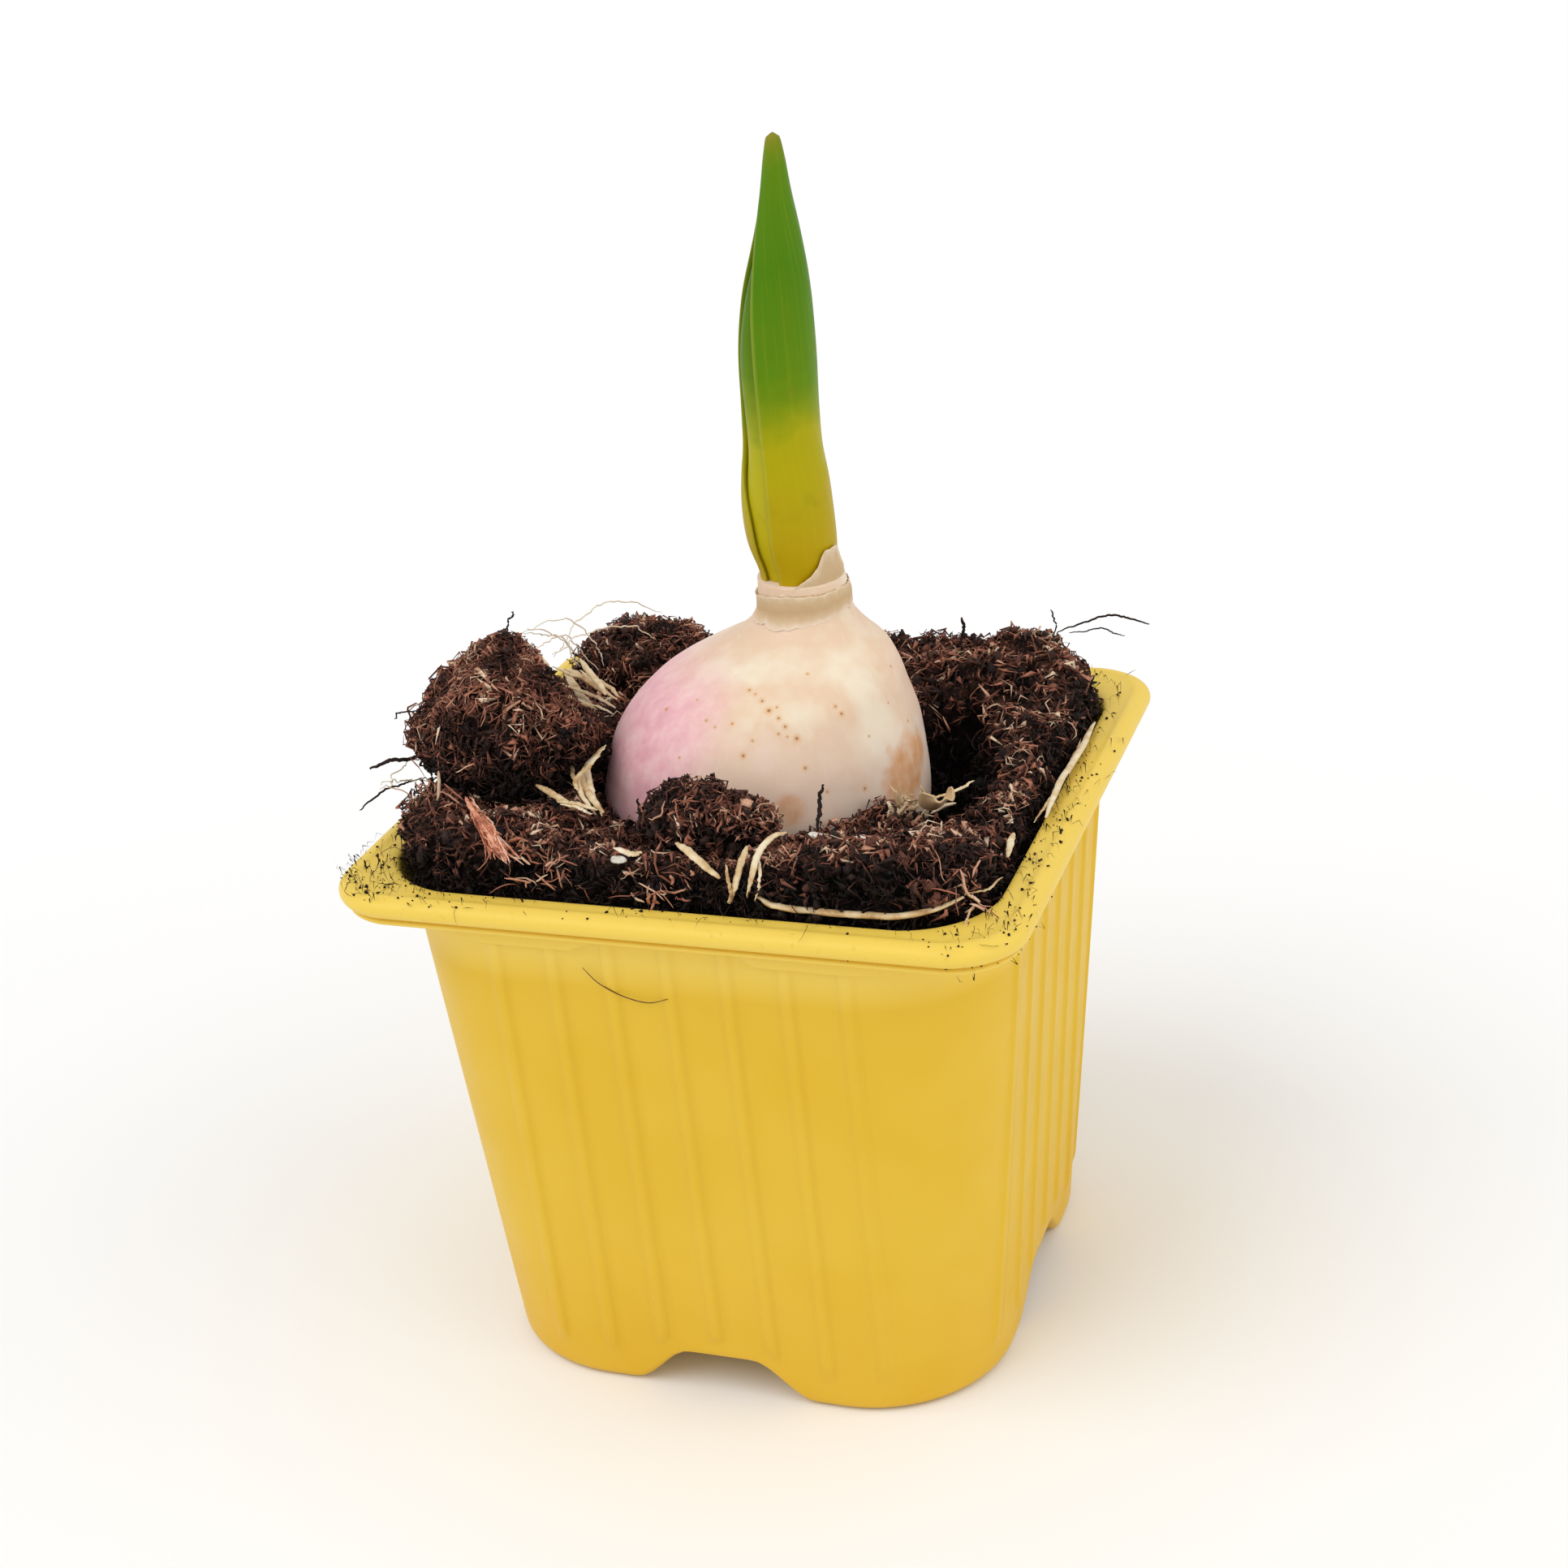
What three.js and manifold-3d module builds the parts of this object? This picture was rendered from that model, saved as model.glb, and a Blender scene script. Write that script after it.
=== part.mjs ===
// A sprouting tulip bulb, half out of the compost in a square ribbed nursery pot.
// Millimetres. +Z is up, -Y is the front wall, and the origin is the middle of the pot's footprint.
import * as THREE from "three";
import { mergeVertices } from "three/addons/utils/BufferGeometryUtils.js";
import Module from "manifold-3d";

const wasm = await Module();
wasm.setup();

// ---------------------------------------------------------------- driving dimensions

const GAP = 0.3; // clearance between pieces that touch
const TURN = 2 * Math.PI;

// Pot: a tapered rounded square with a rolled rim
const POT_HEIGHT = 75.5;
const RIM_HALF = 45; // half the width over the rim
const RIM_CORNER = 9.5;
const MOUTH_HALF = 39.8; // half the width of the opening
const MOUTH_CORNER = 12;
const WALL_BASE_HALF = 35.2;
const WALL_TOP_HALF = 40.5;
const WALL_CORNER = 18.5;
const WALL_TOP = 71.5; // height where the wall meets the underside of the rim
const WALL_THICKNESS = 1.1;
const SOLE_ROUND = 1.6; // rounding where the wall turns under the feet
const RIB_COUNT = 7; // on each wall
const RIB_PITCH = 7.65;
const RIB_HALF_WIDTH = 1;
const RIB_HEIGHT = 0.4;
const RIB_BOTTOM = 6;
const LEDGE_HEIGHT = 69.1; // underside of the stacking ledge at each corner
const LEDGE_DEPTH = 0.9;
const LEDGE_START = 10; // the ledge fades in between these distances from a wall's middle
const LEDGE_FULL = 12;
const CORNER_START = 25; // distance from a wall's middle where the corner points begin

// Drainage channels, a cross under the pot that leaves a foot at each corner
const CHANNEL_ROOF = 5.8;
const CHANNEL_ROOF_HALF = 5;
const CHANNEL_TOE_HALF = 10.5;
const CHANNEL_MOUTH_HALF = 13.5;
const DRAIN_RADIUS = 3;
const DRAIN_OFFSET = 20;

// Compost
const PLATEAU = 5.2; // usual height of the compost over the rim
const PLATEAU_SLOPE = 0.07; // it rises towards +X
const TOP_EDGE_HALF = 37.2; // the root-bound plug stands a little clear of the rim
const TOP_RING_STEP = 2.6;
const TOP_LEAST_HALF = 4;
// The worn top edge, from the side to the flat: [half width less TOP_EDGE_HALF, drop]
const TOP_EDGE_ROWS = [
  [0, 1.6],
  [-0.8, 0.4],
];
const SHOULDER_OUT = 0.6; // the side's top row, over the rim's inner edge
const SHOULDER_DROP = 1.4;

// Bulb: [height over the rim, radius, sideways lean of the axis]
const BULB_SECTIONS = [
  [-26, 5, 0],
  [-24.5, 8.5, 0],
  [-20, 13.6, 0],
  [-15, 17.9, 0],
  [-9, 21, 0],
  [-3, 22, 0.1],
  [3, 21.4, 0.4],
  [8, 20.2, 1],
  [12, 18.1, 1.9],
  [15, 15.9, 3.2],
  [18, 12.4, 5.2],
  [20, 9.3, 6.4],
  [23, 6.6, 7],
  [26, 6, 7],
  [28, 5.7, 6.8],
];
const LEAN_ANGLE = THREE.MathUtils.degToRad(20.5); // the way the neck leans
const BULB_SIDES = 28;

// Shoot: [height over the rim, radius, lean of the axis, first margin, second margin]. The outer
// leaf is rolled, and its two margins are given in degrees from FACING_ANGLE, clockwise from above.
const FACING_ANGLE = THREE.MathUtils.degToRad(-69.5);
const SHOOT_SECTIONS = [
  [28.9, 5, 6.6, 34, 64],
  [32, 5.7, 6.1, 32, 60],
  [36.5, 5.9, 5.75, 30, 60],
  [41, 5.65, 5.7, 31, 76],
  [45, 5.1, 5.7, 35, 94],
  [50, 4.95, 5.75, 40, 106],
  [57.5, 4.85, 6, 48, 112],
  [62, 4.5, 6.3, 54, 110],
  [66, 4.05, 6.6, 58, 106],
  [70, 3.35, 6.9, 64, 104],
  [74, 2.6, 7.1, 74, 104],
  [78, 1.85, 7.2, 84, 104],
  [82, 1.3, 7.3, 90, 104],
  [85.5, 0.6, 7.35, 93, 103],
];
const LEAF_THICKNESS = 0.9;
const LEAF_SHARE = 0.45; // the most of the shoot's radius that the outer leaf takes up
const LEAF_ARC_STEPS = 16;
const INNER_LEAF_SIDES = 16;
const INNER_LEAF_TOP = 78;
const INNER_LEAF_GAP = 0.4; // its sides are flat, so they need more than GAP

// Collar: the torn papery scale round the neck, with one lobe standing up
const COLLAR_BOTTOM = 24.6;
const COLLAR_TOP = 26.4;
const COLLAR_LOBE = 4.6;
const COLLAR_EDGE = 1; // height of its free edge over its top, away from the lobe
const COLLAR_THICKNESS = 0.5;
const COLLAR_SIDES = 32;
const LOBE_START = 0.55; // cosine of the angle from the lobe's middle where the lobe begins
const LOBE_TURN = 0.25; // radians from the lean to the lobe's middle
const COLLAR_LEAST_RADIUS = 6;

const CLOD_SIDES = 24;
const CLOD_ROWS = 16;
const ROOT_SIDES = 6;
const ROOT_STEPS = 3; // between two points of a root's path

// ---------------------------------------------------------------- helpers

const clamp01 = (t) => Math.min(1, Math.max(0, t));
const smooth = (from, to, t) => {
  const s = clamp01((t - from) / (to - from));
  return s * s * (3 - 2 * s);
};
const mix = (a, b, t) => a + (b - a) * t;

// The rows of a table whose first column rises, interpolated at a height.
function sampleTable(table, height) {
  const last = table.length - 1;
  if (height >= table[last][0]) return table[last].slice(1);
  const i = Math.max(0, table.findIndex((row) => row[0] > height) - 1);
  const t = clamp01((height - table[i][0]) / (table[i + 1][0] - table[i][0]));
  return table[i].slice(1).map((value, k) => mix(value, table[i + 1][k + 1], t));
}

// A closed skin over sections of equal length. Each section runs anticlockwise about the way the
// sections progress. A loop joins the last section to the first; otherwise both ends are capped,
// with a fan round the middle, or with a strip for a C-shaped section.
function skin(sections, { loop = false, strip = false } = {}) {
  const count = sections[0].length;
  const points = sections.flat();
  const faces = [];
  const spans = loop ? sections.length : sections.length - 1;
  for (let i = 0; i < spans; i++) {
    const low = i * count;
    const high = ((i + 1) % sections.length) * count;
    for (let j = 0; j < count; j++) {
      const k = (j + 1) % count;
      faces.push(low + j, low + k, high + k, low + j, high + k, high + j);
    }
  }
  const cap = (start, flip) => {
    const add = (a, b, c) => faces.push(...(flip ? [c, b, a] : [a, b, c]));
    if (strip) {
      for (let j = 0; j < count / 2 - 1; j++) {
        const mate = count - 1 - j;
        add(start + j, start + j + 1, start + mate - 1);
        add(start + j, start + mate - 1, start + mate);
      }
      return;
    }
    const middle = new THREE.Vector3();
    for (let j = 0; j < count; j++) middle.addScaledVector(points[start + j], 1 / count);
    points.push(middle);
    for (let j = 0; j < count; j++) add(start + j, start + ((j + 1) % count), points.length - 1);
  };
  if (!loop) {
    cap(0, true);
    cap((sections.length - 1) * count, false);
  }
  const geometry = new THREE.BufferGeometry().setFromPoints(points);
  geometry.setIndex(faces);
  return geometry;
}

// A closed three.js geometry as a solid that can be cut and joined.
function toSolid(geometry) {
  const bare = geometry.clone();
  bare.deleteAttribute("normal");
  bare.deleteAttribute("uv");
  const merged = mergeVertices(bare, 1e-4);
  const mesh = new wasm.Mesh({
    numProp: 3,
    vertProperties: new Float32Array(merged.attributes.position.array),
    triVerts: new Uint32Array(merged.index.array),
  });
  return new wasm.Manifold(mesh);
}

function toGeometry(solid) {
  const { vertProperties, triVerts } = solid.getMesh();
  const geometry = new THREE.BufferGeometry();
  geometry.setAttribute("position", new THREE.BufferAttribute(vertProperties, 3));
  geometry.setIndex(new THREE.BufferAttribute(triVerts, 1));
  return geometry;
}

// ---------------------------------------------------------------- pot

// Points of a rounded square, anticlockwise from above. shape(t) moves a point outwards by its
// distance t from the middle of its wall.
function roundedSquare(half, corner, z, { stops = [0], cornerSteps = 6, shape = () => 0 } = {}) {
  const points = [];
  const straight = half - corner;
  const first = Math.asin(clamp01((stops[stops.length - 1] - straight) / corner));
  for (let wall = 0; wall < 4; wall++) {
    const turn = (wall * TURN) / 4 - TURN / 4;
    const place = (along, out) =>
      points.push(
        new THREE.Vector3(
          out * Math.cos(turn) - along * Math.sin(turn),
          out * Math.sin(turn) + along * Math.cos(turn),
          z,
        ),
      );
    for (const t of stops) {
      const past = Math.max(0, Math.abs(t) - straight);
      place(t, straight + Math.sqrt(corner * corner - past * past) + shape(t));
    }
    for (let step = 1; step < cornerSteps; step++) {
      const angle = mix(first, TURN / 4 - first, step / cornerSteps);
      const reach = corner + shape(CORNER_START);
      place(straight + reach * Math.sin(angle), straight + reach * Math.cos(angle));
    }
  }
  return points;
}

const wallHalf = (z) => mix(WALL_BASE_HALF, WALL_TOP_HALF, z / WALL_TOP);

function ribStops() {
  const stops = [-CORNER_START, -LEDGE_FULL, -LEDGE_START, LEDGE_START, LEDGE_FULL, CORNER_START];
  for (let rib = 0; rib < RIB_COUNT; rib++) {
    const middle = (rib - (RIB_COUNT - 1) / 2) * RIB_PITCH;
    stops.push(middle - RIB_HALF_WIDTH, middle, middle + RIB_HALF_WIDTH);
  }
  return stops.sort((a, b) => a - b);
}

// How far a rib or the corner ledge stands off the wall at a distance t from its middle.
const ribRise = (t) => {
  const offset = Math.abs(t) % RIB_PITCH;
  const near = Math.min(offset, RIB_PITCH - offset);
  const onRib = near < RIB_HALF_WIDTH / 2 && Math.abs(t) < (RIB_COUNT * RIB_PITCH) / 2;
  return onRib ? RIB_HEIGHT : 0;
};
const ledgeRise = (t) => LEDGE_DEPTH * smooth(LEDGE_START, LEDGE_FULL, Math.abs(t));

function potWall() {
  const stops = ribStops();
  const ring = (z, inset, shape) =>
    roundedSquare(wallHalf(z) - inset, WALL_CORNER - inset, z, { stops, shape });
  const plain = () => 0;
  return skin([
    ring(0, SOLE_ROUND, plain),
    ring(SOLE_ROUND * 0.3, SOLE_ROUND * 0.3, plain),
    ring(SOLE_ROUND, 0, plain),
    ring(RIB_BOTTOM - 1.5, 0, plain),
    ring(RIB_BOTTOM, 0, ribRise),
    ring(LEDGE_HEIGHT, 0, ribRise),
    ring(LEDGE_HEIGHT + 0.4, 0, (t) => Math.max(ribRise(t), ledgeRise(t))),
    ring(WALL_TOP + 1, 0, (t) => Math.max(ribRise(t), ledgeRise(t))),
  ]);
}

// The rim's outside: a thin lower lip, a groove, a rolled bead and a flat top.
function potRim() {
  const rows = [
    [WALL_TOP, 42.2],
    [WALL_TOP + 0.2, 43.6],
    [WALL_TOP + 0.8, 43.8],
    [WALL_TOP + 1.1, 44.4],
    [WALL_TOP + 1.8, 44.9],
    [WALL_TOP + 2.5, RIM_HALF],
    [WALL_TOP + 3.3, 44.6],
    [WALL_TOP + 3.8, 43.8],
    [POT_HEIGHT, 42.9],
  ];
  return skin(rows.map(([z, half]) => roundedSquare(half, RIM_CORNER - (RIM_HALF - half), z)));
}

// The space inside the pot, shrunk by a clearance for what fills it.
function potInside(clearance, top) {
  const ring = (z, half, corner) => roundedSquare(half - clearance, corner - clearance, z);
  const inner = (z) => wallHalf(z) - WALL_THICKNESS;
  const innerCorner = WALL_CORNER - WALL_THICKNESS;
  const floor = WALL_THICKNESS + clearance;
  return [
    ring(floor, inner(0) - SOLE_ROUND, innerCorner - SOLE_ROUND),
    ring(floor + SOLE_ROUND, inner(SOLE_ROUND), innerCorner),
    ring(LEDGE_HEIGHT - 1, inner(LEDGE_HEIGHT - 1), innerCorner),
    ring(WALL_TOP + 1, MOUTH_HALF - 0.2, MOUTH_CORNER + 1),
    ring(top, MOUTH_HALF, MOUTH_CORNER),
  ];
}

// A bar with the drainage channel's section, grown by a thickness, along X or along Y.
function channelBar(grow, alongY) {
  const reach = RIM_HALF;
  const section = new THREE.Shape();
  section.moveTo(-CHANNEL_MOUTH_HALF - grow, -1);
  section.lineTo(CHANNEL_MOUTH_HALF + grow, -1);
  section.lineTo(CHANNEL_MOUTH_HALF + grow, 0);
  section.lineTo(CHANNEL_TOE_HALF + grow, 1);
  section.lineTo(CHANNEL_ROOF_HALF + 1 + grow, CHANNEL_ROOF - 0.7 + grow);
  section.lineTo(CHANNEL_ROOF_HALF + grow / 2, CHANNEL_ROOF + grow);
  section.lineTo(-CHANNEL_ROOF_HALF - grow / 2, CHANNEL_ROOF + grow);
  section.lineTo(-CHANNEL_ROOF_HALF - 1 - grow, CHANNEL_ROOF - 0.7 + grow);
  section.lineTo(-CHANNEL_TOE_HALF - grow, 1);
  section.lineTo(-CHANNEL_MOUTH_HALF - grow, 0);
  const bar = new THREE.ExtrudeGeometry(section, { depth: 2 * reach, bevelEnabled: false });
  bar.translate(0, 0, -reach);
  bar.rotateX(TURN / 4);
  if (!alongY) bar.rotateZ(TURN / 4);
  return toSolid(bar);
}

const withoutChannels = (solid, grow) =>
  solid.subtract(channelBar(grow, false)).subtract(channelBar(grow, true));

function drainHoles() {
  const places = [
    [0, 0],
    [DRAIN_OFFSET, 0],
    [-DRAIN_OFFSET, 0],
    [0, DRAIN_OFFSET],
    [0, -DRAIN_OFFSET],
  ];
  return places.map(([x, y]) => {
    const hole = new THREE.CylinderGeometry(DRAIN_RADIUS, DRAIN_RADIUS, 2 * CHANNEL_ROOF, 16);
    hole.rotateX(TURN / 4);
    hole.translate(x, y, CHANNEL_ROOF);
    return toSolid(hole);
  });
}

function potGeometry() {
  const outside = withoutChannels(toSolid(potWall()).add(toSolid(potRim())), 0);
  const inside = withoutChannels(toSolid(skin(potInside(0, POT_HEIGHT + 1))), WALL_THICKNESS);
  let pot = outside.subtract(inside);
  for (const hole of drainHoles()) pot = pot.subtract(hole);
  return toGeometry(pot);
}

// ---------------------------------------------------------------- bulb, collar and shoot

const leanPoint = (lean, radius, angle, height) =>
  new THREE.Vector3(
    lean * Math.cos(LEAN_ANGLE) + radius * Math.cos(angle),
    lean * Math.sin(LEAN_ANGLE) + radius * Math.sin(angle),
    POT_HEIGHT + height,
  );

const leanRing = (height, radius, lean, sides) =>
  Array.from({ length: sides }, (_, i) => leanPoint(lean, radius, (i * TURN) / sides, height));

function bulbGeometry(clearance) {
  const rings = BULB_SECTIONS.map(([height, radius, lean]) =>
    leanRing(height, radius + clearance, lean, BULB_SIDES),
  );
  rings[0] = leanRing(BULB_SECTIONS[0][0] - clearance, BULB_SECTIONS[0][1], 0, BULB_SIDES);
  return skin(rings);
}

function collarGeometry() {
  const sections = [];
  for (let i = 0; i < COLLAR_SIDES; i++) {
    const angle = (i * TURN) / COLLAR_SIDES;
    const lobe = COLLAR_LOBE * smooth(LOBE_START, 1, Math.cos(angle - LEAN_ANGLE + LOBE_TURN));
    const levels = [COLLAR_BOTTOM, COLLAR_TOP, COLLAR_TOP + COLLAR_EDGE + lobe];
    const wall = levels.map((height) => {
      const [bulbRadius, lean] = sampleTable(BULB_SECTIONS, height);
      const [shootRadius] = sampleTable(SHOOT_SECTIONS, height);
      const radius = Math.max(bulbRadius, shootRadius, COLLAR_LEAST_RADIUS) + GAP;
      return { height, radius, lean };
    });
    const side = (extra) => wall.map((w) => leanPoint(w.lean, w.radius + extra, angle, w.height));
    sections.push([...side(0), ...side(COLLAR_THICKNESS).reverse()]);
  }
  return skin(sections, { loop: true });
}

function outerLeafGeometry() {
  const sections = SHOOT_SECTIONS.map(([height, radius, lean, firstMargin, secondMargin]) => {
    const from = FACING_ANGLE - THREE.MathUtils.degToRad(firstMargin);
    const to = FACING_ANGLE - THREE.MathUtils.degToRad(secondMargin) + TURN;
    const inner = radius - Math.min(LEAF_THICKNESS, radius * LEAF_SHARE);
    const arc = (r) =>
      Array.from({ length: LEAF_ARC_STEPS + 1 }, (_, i) =>
        leanPoint(lean, r, mix(from, to, i / LEAF_ARC_STEPS), height),
      );
    return [...arc(radius), ...arc(inner).reverse()];
  });
  return skin(sections, { strip: true });
}

function innerLeafGeometry() {
  const rings = SHOOT_SECTIONS.filter(([height]) => height <= INNER_LEAF_TOP).map(
    ([height, radius, lean]) => {
      const inside = radius - Math.min(LEAF_THICKNESS, radius * LEAF_SHARE) - INNER_LEAF_GAP;
      return leanRing(height, inside, lean, INNER_LEAF_SIDES);
    },
  );
  return skin(rings);
}

// ---------------------------------------------------------------- compost and clods

const dip = (x, y, [cx, cy, radius, depth]) =>
  depth * Math.exp(-((x - cx) ** 2 + (y - cy) ** 2) / (radius * radius));

// Hollows in the compost: [x, y, radius, depth]
const HOLLOWS = [
  [23, 14, 5.5, 20], // beside the bulb, back right
  [26.5, 0, 5, 18], // beside the bulb, right
  [-24.5, -9, 4, 7], // beside the bulb, left
  [-31, -11, 17, 2.6], // seat of the left clod
  [-27, 28, 13, 4], // seat of the back clod
  [3, -27.5, 12.5, 2.8], // seat of the front clod
];
const CRATER_DEPTH = 5; // round the bulb
const CRATER_RADIUS = 21.5;
const CRATER_SPREAD_LEFT = 4.5;
const CRATER_SPREAD_RIGHT = 8;
const EDGE_DROP = 5; // the right edge slopes down to the rim, less so towards the back
const EDGE_DROP_START = 29;
const EDGE_DROP_END = 38;
const BACK_SHARE = 0.75;
const BACK_START = 16;
const BACK_END = 34;

// Height of the compost over the rim.
function compostHeight(x, y) {
  const spread = mix(CRATER_SPREAD_LEFT, CRATER_SPREAD_RIGHT, smooth(-CRATER_RADIUS, 0, x));
  const crater = Math.exp(-(((Math.hypot(x, y) - CRATER_RADIUS) / spread) ** 2));
  const back = BACK_SHARE * smooth(BACK_START, BACK_END, y);
  const drop = EDGE_DROP * smooth(EDGE_DROP_START, EDGE_DROP_END, x) * (1 - back);
  const level = PLATEAU + PLATEAU_SLOPE * Math.max(0, x) - CRATER_DEPTH * crater - drop;
  return HOLLOWS.reduce((height, hollow) => height - dip(x, y, hollow), level);
}

function compostGeometry() {
  const sideRings = potInside(GAP, POT_HEIGHT).slice(0, -1);
  const topRing = (half, lowered) =>
    roundedSquare(half, (MOUTH_CORNER * half) / MOUTH_HALF, 0).map(
      (p) => new THREE.Vector3(p.x, p.y, POT_HEIGHT + compostHeight(p.x, p.y) - lowered),
    );
  const topRings = TOP_EDGE_ROWS.map(([out, drop]) => topRing(TOP_EDGE_HALF + out, drop));
  for (let half = TOP_EDGE_HALF - TOP_RING_STEP; half > TOP_LEAST_HALF; half -= TOP_RING_STEP) {
    topRings.push(topRing(half, 0));
  }
  const shoulder = roundedSquare(
    TOP_EDGE_HALF + SHOULDER_OUT,
    MOUTH_CORNER - 1,
    POT_HEIGHT - SHOULDER_DROP,
  );
  const plug = toSolid(skin([...sideRings, shoulder, ...topRings]));
  const channelled = withoutChannels(plug, WALL_THICKNESS + GAP);
  return toGeometry(channelled.subtract(toSolid(bulbGeometry(GAP))));
}

// A lumpy clod with a flat seat and, on request, sides that were broken off flat. A break is the
// way it faces and its distance from the clod's middle.
function clodGeometry({ middle, radii, seat, lumps, seed, breaks = [] }) {
  const clod = new THREE.SphereGeometry(1, CLOD_SIDES, CLOD_ROWS);
  clod.rotateX(TURN / 4);
  clod.deleteAttribute("normal");
  clod.deleteAttribute("uv");
  const merged = mergeVertices(clod, 1e-4);
  const position = merged.attributes.position;
  const p = new THREE.Vector3();
  for (let i = 0; i < position.count; i++) {
    p.fromBufferAttribute(position, i);
    const wave = Math.sin(3 * p.x + seed) * Math.sin(4 * p.y + 2 * seed) * Math.cos(3 * p.z);
    p.multiplyScalar(1 + lumps * wave).multiply(radii);
    for (const { way, reach } of breaks) p.addScaledVector(way, -Math.max(0, p.dot(way) - reach));
    p.add(middle);
    p.z = POT_HEIGHT + Math.max(p.z, seat);
    position.setXYZ(i, p.x, p.y, p.z);
  }
  return merged;
}

const CLODS = {
  soil_clod_left: {
    middle: new THREE.Vector3(-31, -11.5, 11),
    radii: new THREE.Vector3(12.8, 12.5, 11.6),
    seat: 4.2,
    lumps: 0.06,
    seed: 1,
    breaks: [
      { way: new THREE.Vector3(0.66, 0.53, 0.53).normalize(), reach: 8.2 }, // towards the bulb
      { way: new THREE.Vector3(-0.6, -0.3, 0.74).normalize(), reach: 9.4 }, // its sloping top
      { way: new THREE.Vector3(-0.6, -0.66, -0.46).normalize(), reach: 10.8 }, // under its overhang
    ],
  },
  soil_clod_back: {
    middle: new THREE.Vector3(-27, 28, 3.5),
    radii: new THREE.Vector3(10.5, 8.5, 6),
    seat: 3.2,
    lumps: 0.05,
    seed: 4,
  },
  soil_clod_front: {
    middle: new THREE.Vector3(2.2, -27.6, 5.4),
    radii: new THREE.Vector3(8.4, 4.6, 4.4),
    seat: 3.7,
    lumps: 0.05,
    seed: 2,
  },
};

// ---------------------------------------------------------------- roots and scraps

// Roots: a radius and the points they follow, [x, y, height over the rim]
const ROOTS = {
  root_front_long: {
    radius: 0.5,
    path: [
      [12, -38.7, 2.2],
      [13.6, -38.8, 1.1],
      [16.5, -38.9, 0.6],
      [22, -38.9, 0.5],
      [28, -38.8, 0.6],
      [33, -37.1, 0.9],
      [36.4, -33.8, 1.5],
    ],
  },
  root_front_left: {
    radius: 0.55,
    path: [
      [10.5, -36.2, 7.2],
      [10.3, -37.9, 5.6],
      [9.4, -38.8, 2.8],
      [8.6, -38.9, 0.8],
    ],
  },
  root_front_right: {
    radius: 0.5,
    path: [
      [14.6, -33.2, 8],
      [13.2, -35, 8],
      [12.4, -37.2, 7],
      [11.7, -38.7, 4.6],
      [11, -38.9, 1.8],
    ],
  },
  root_front_flat: {
    radius: 0.6,
    path: [
      [1, -35.6, 6.6],
      [4.2, -37.6, 5.8],
      [7.6, -38.8, 4],
    ],
  },
  root_left_inner: {
    radius: 0.55,
    path: [
      [-16.9, -14, 9],
      [-18.3, -16.2, 7.4],
      [-17.8, -19.8, 6.6],
      [-14.6, -24.4, 6.4],
      [-11.6, -28, 6.3],
    ],
  },
  root_left_cross: {
    radius: 0.55,
    path: [
      [-23, -22.4, 6.8],
      [-19.2, -25.2, 6.6],
      [-15.6, -27.6, 6.3],
    ],
  },
  root_back_1: {
    radius: 0.6,
    path: [
      [-28.2, 1.8, 12.9],
      [-24.6, 0.4, 12],
      [-20.7, -1.6, 11],
    ],
  },
  root_back_2: {
    radius: 0.6,
    path: [
      [-30.6, 6.4, 10.6],
      [-26.6, 1.6, 9.8],
      [-22.9, -2.6, 9],
    ],
  },
  root_back_3: {
    radius: 0.5,
    path: [
      [-26.2, 2.2, 14.4],
      [-23, -1.2, 13.4],
      [-19.8, -5, 12.4],
    ],
  },
  root_rim_right: {
    radius: 0.5,
    path: [
      [40.3, 21.5, 1],
      [40.6, 12, 0.95],
      [40.2, 2, 0.95],
      [40.7, -9.5, 1],
    ],
  },
  root_short_right: {
    radius: 0.45,
    path: [
      [38.9, -18.6, 3],
      [39, -20.8, 2.8],
      [39, -22.6, 1.6],
    ],
  },
};

function tubeGeometry({ radius, path }) {
  const points = path.map(([x, y, z]) => new THREE.Vector3(x, y, POT_HEIGHT + z));
  const section = new THREE.Shape();
  for (let i = 0; i < ROOT_SIDES; i++) {
    const angle = (i * TURN) / ROOT_SIDES;
    const step = i === 0 ? "moveTo" : "lineTo";
    section[step](radius * Math.cos(angle), radius * Math.sin(angle));
  }
  const extrudePath = new THREE.CatmullRomCurve3(points, false, "centripetal");
  const steps = ROOT_STEPS * (points.length - 1);
  return new THREE.ExtrudeGeometry(section, { steps, extrudePath, bevelEnabled: false });
}

// A curled scale of dry skin that stands beside the bulb: a strip bent round its length, wider in
// the middle.
const HUSK = { length: 6, curl: 1.7, thickness: 0.5, halfTurn: 1.1, rows: 6, columns: 7 };
const HUSK_LEAST_WIDTH = 0.5; // a share of its half turn, added to a half sine along its length
const HUSK_SINE = [0.15, 0.9];

function huskGeometry() {
  const sections = [];
  for (let i = 0; i < HUSK.rows; i++) {
    const along = i / (HUSK.rows - 1);
    const width = HUSK_LEAST_WIDTH + Math.sin(Math.PI * mix(...HUSK_SINE, along));
    const arc = (r) =>
      Array.from({ length: HUSK.columns }, (_, k) => {
        const angle = mix(-1, 1, k / (HUSK.columns - 1)) * HUSK.halfTurn * width;
        return new THREE.Vector3(r * Math.cos(angle), r * Math.sin(angle), along * HUSK.length);
      });
    sections.push([...arc(HUSK.curl + HUSK.thickness), ...arc(HUSK.curl).reverse()]);
  }
  return skin(sections, { strip: true });
}

// A splinter of bark, wide in the middle and pointed at both ends: [distance along it, half width]
const BARK_ROWS = [
  [0, 0.3],
  [2, 0.9],
  [5.5, 1.2],
  [8.5, 0.8],
  [11, 0.25],
];
const BARK_FLATNESS = 0.55;

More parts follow.
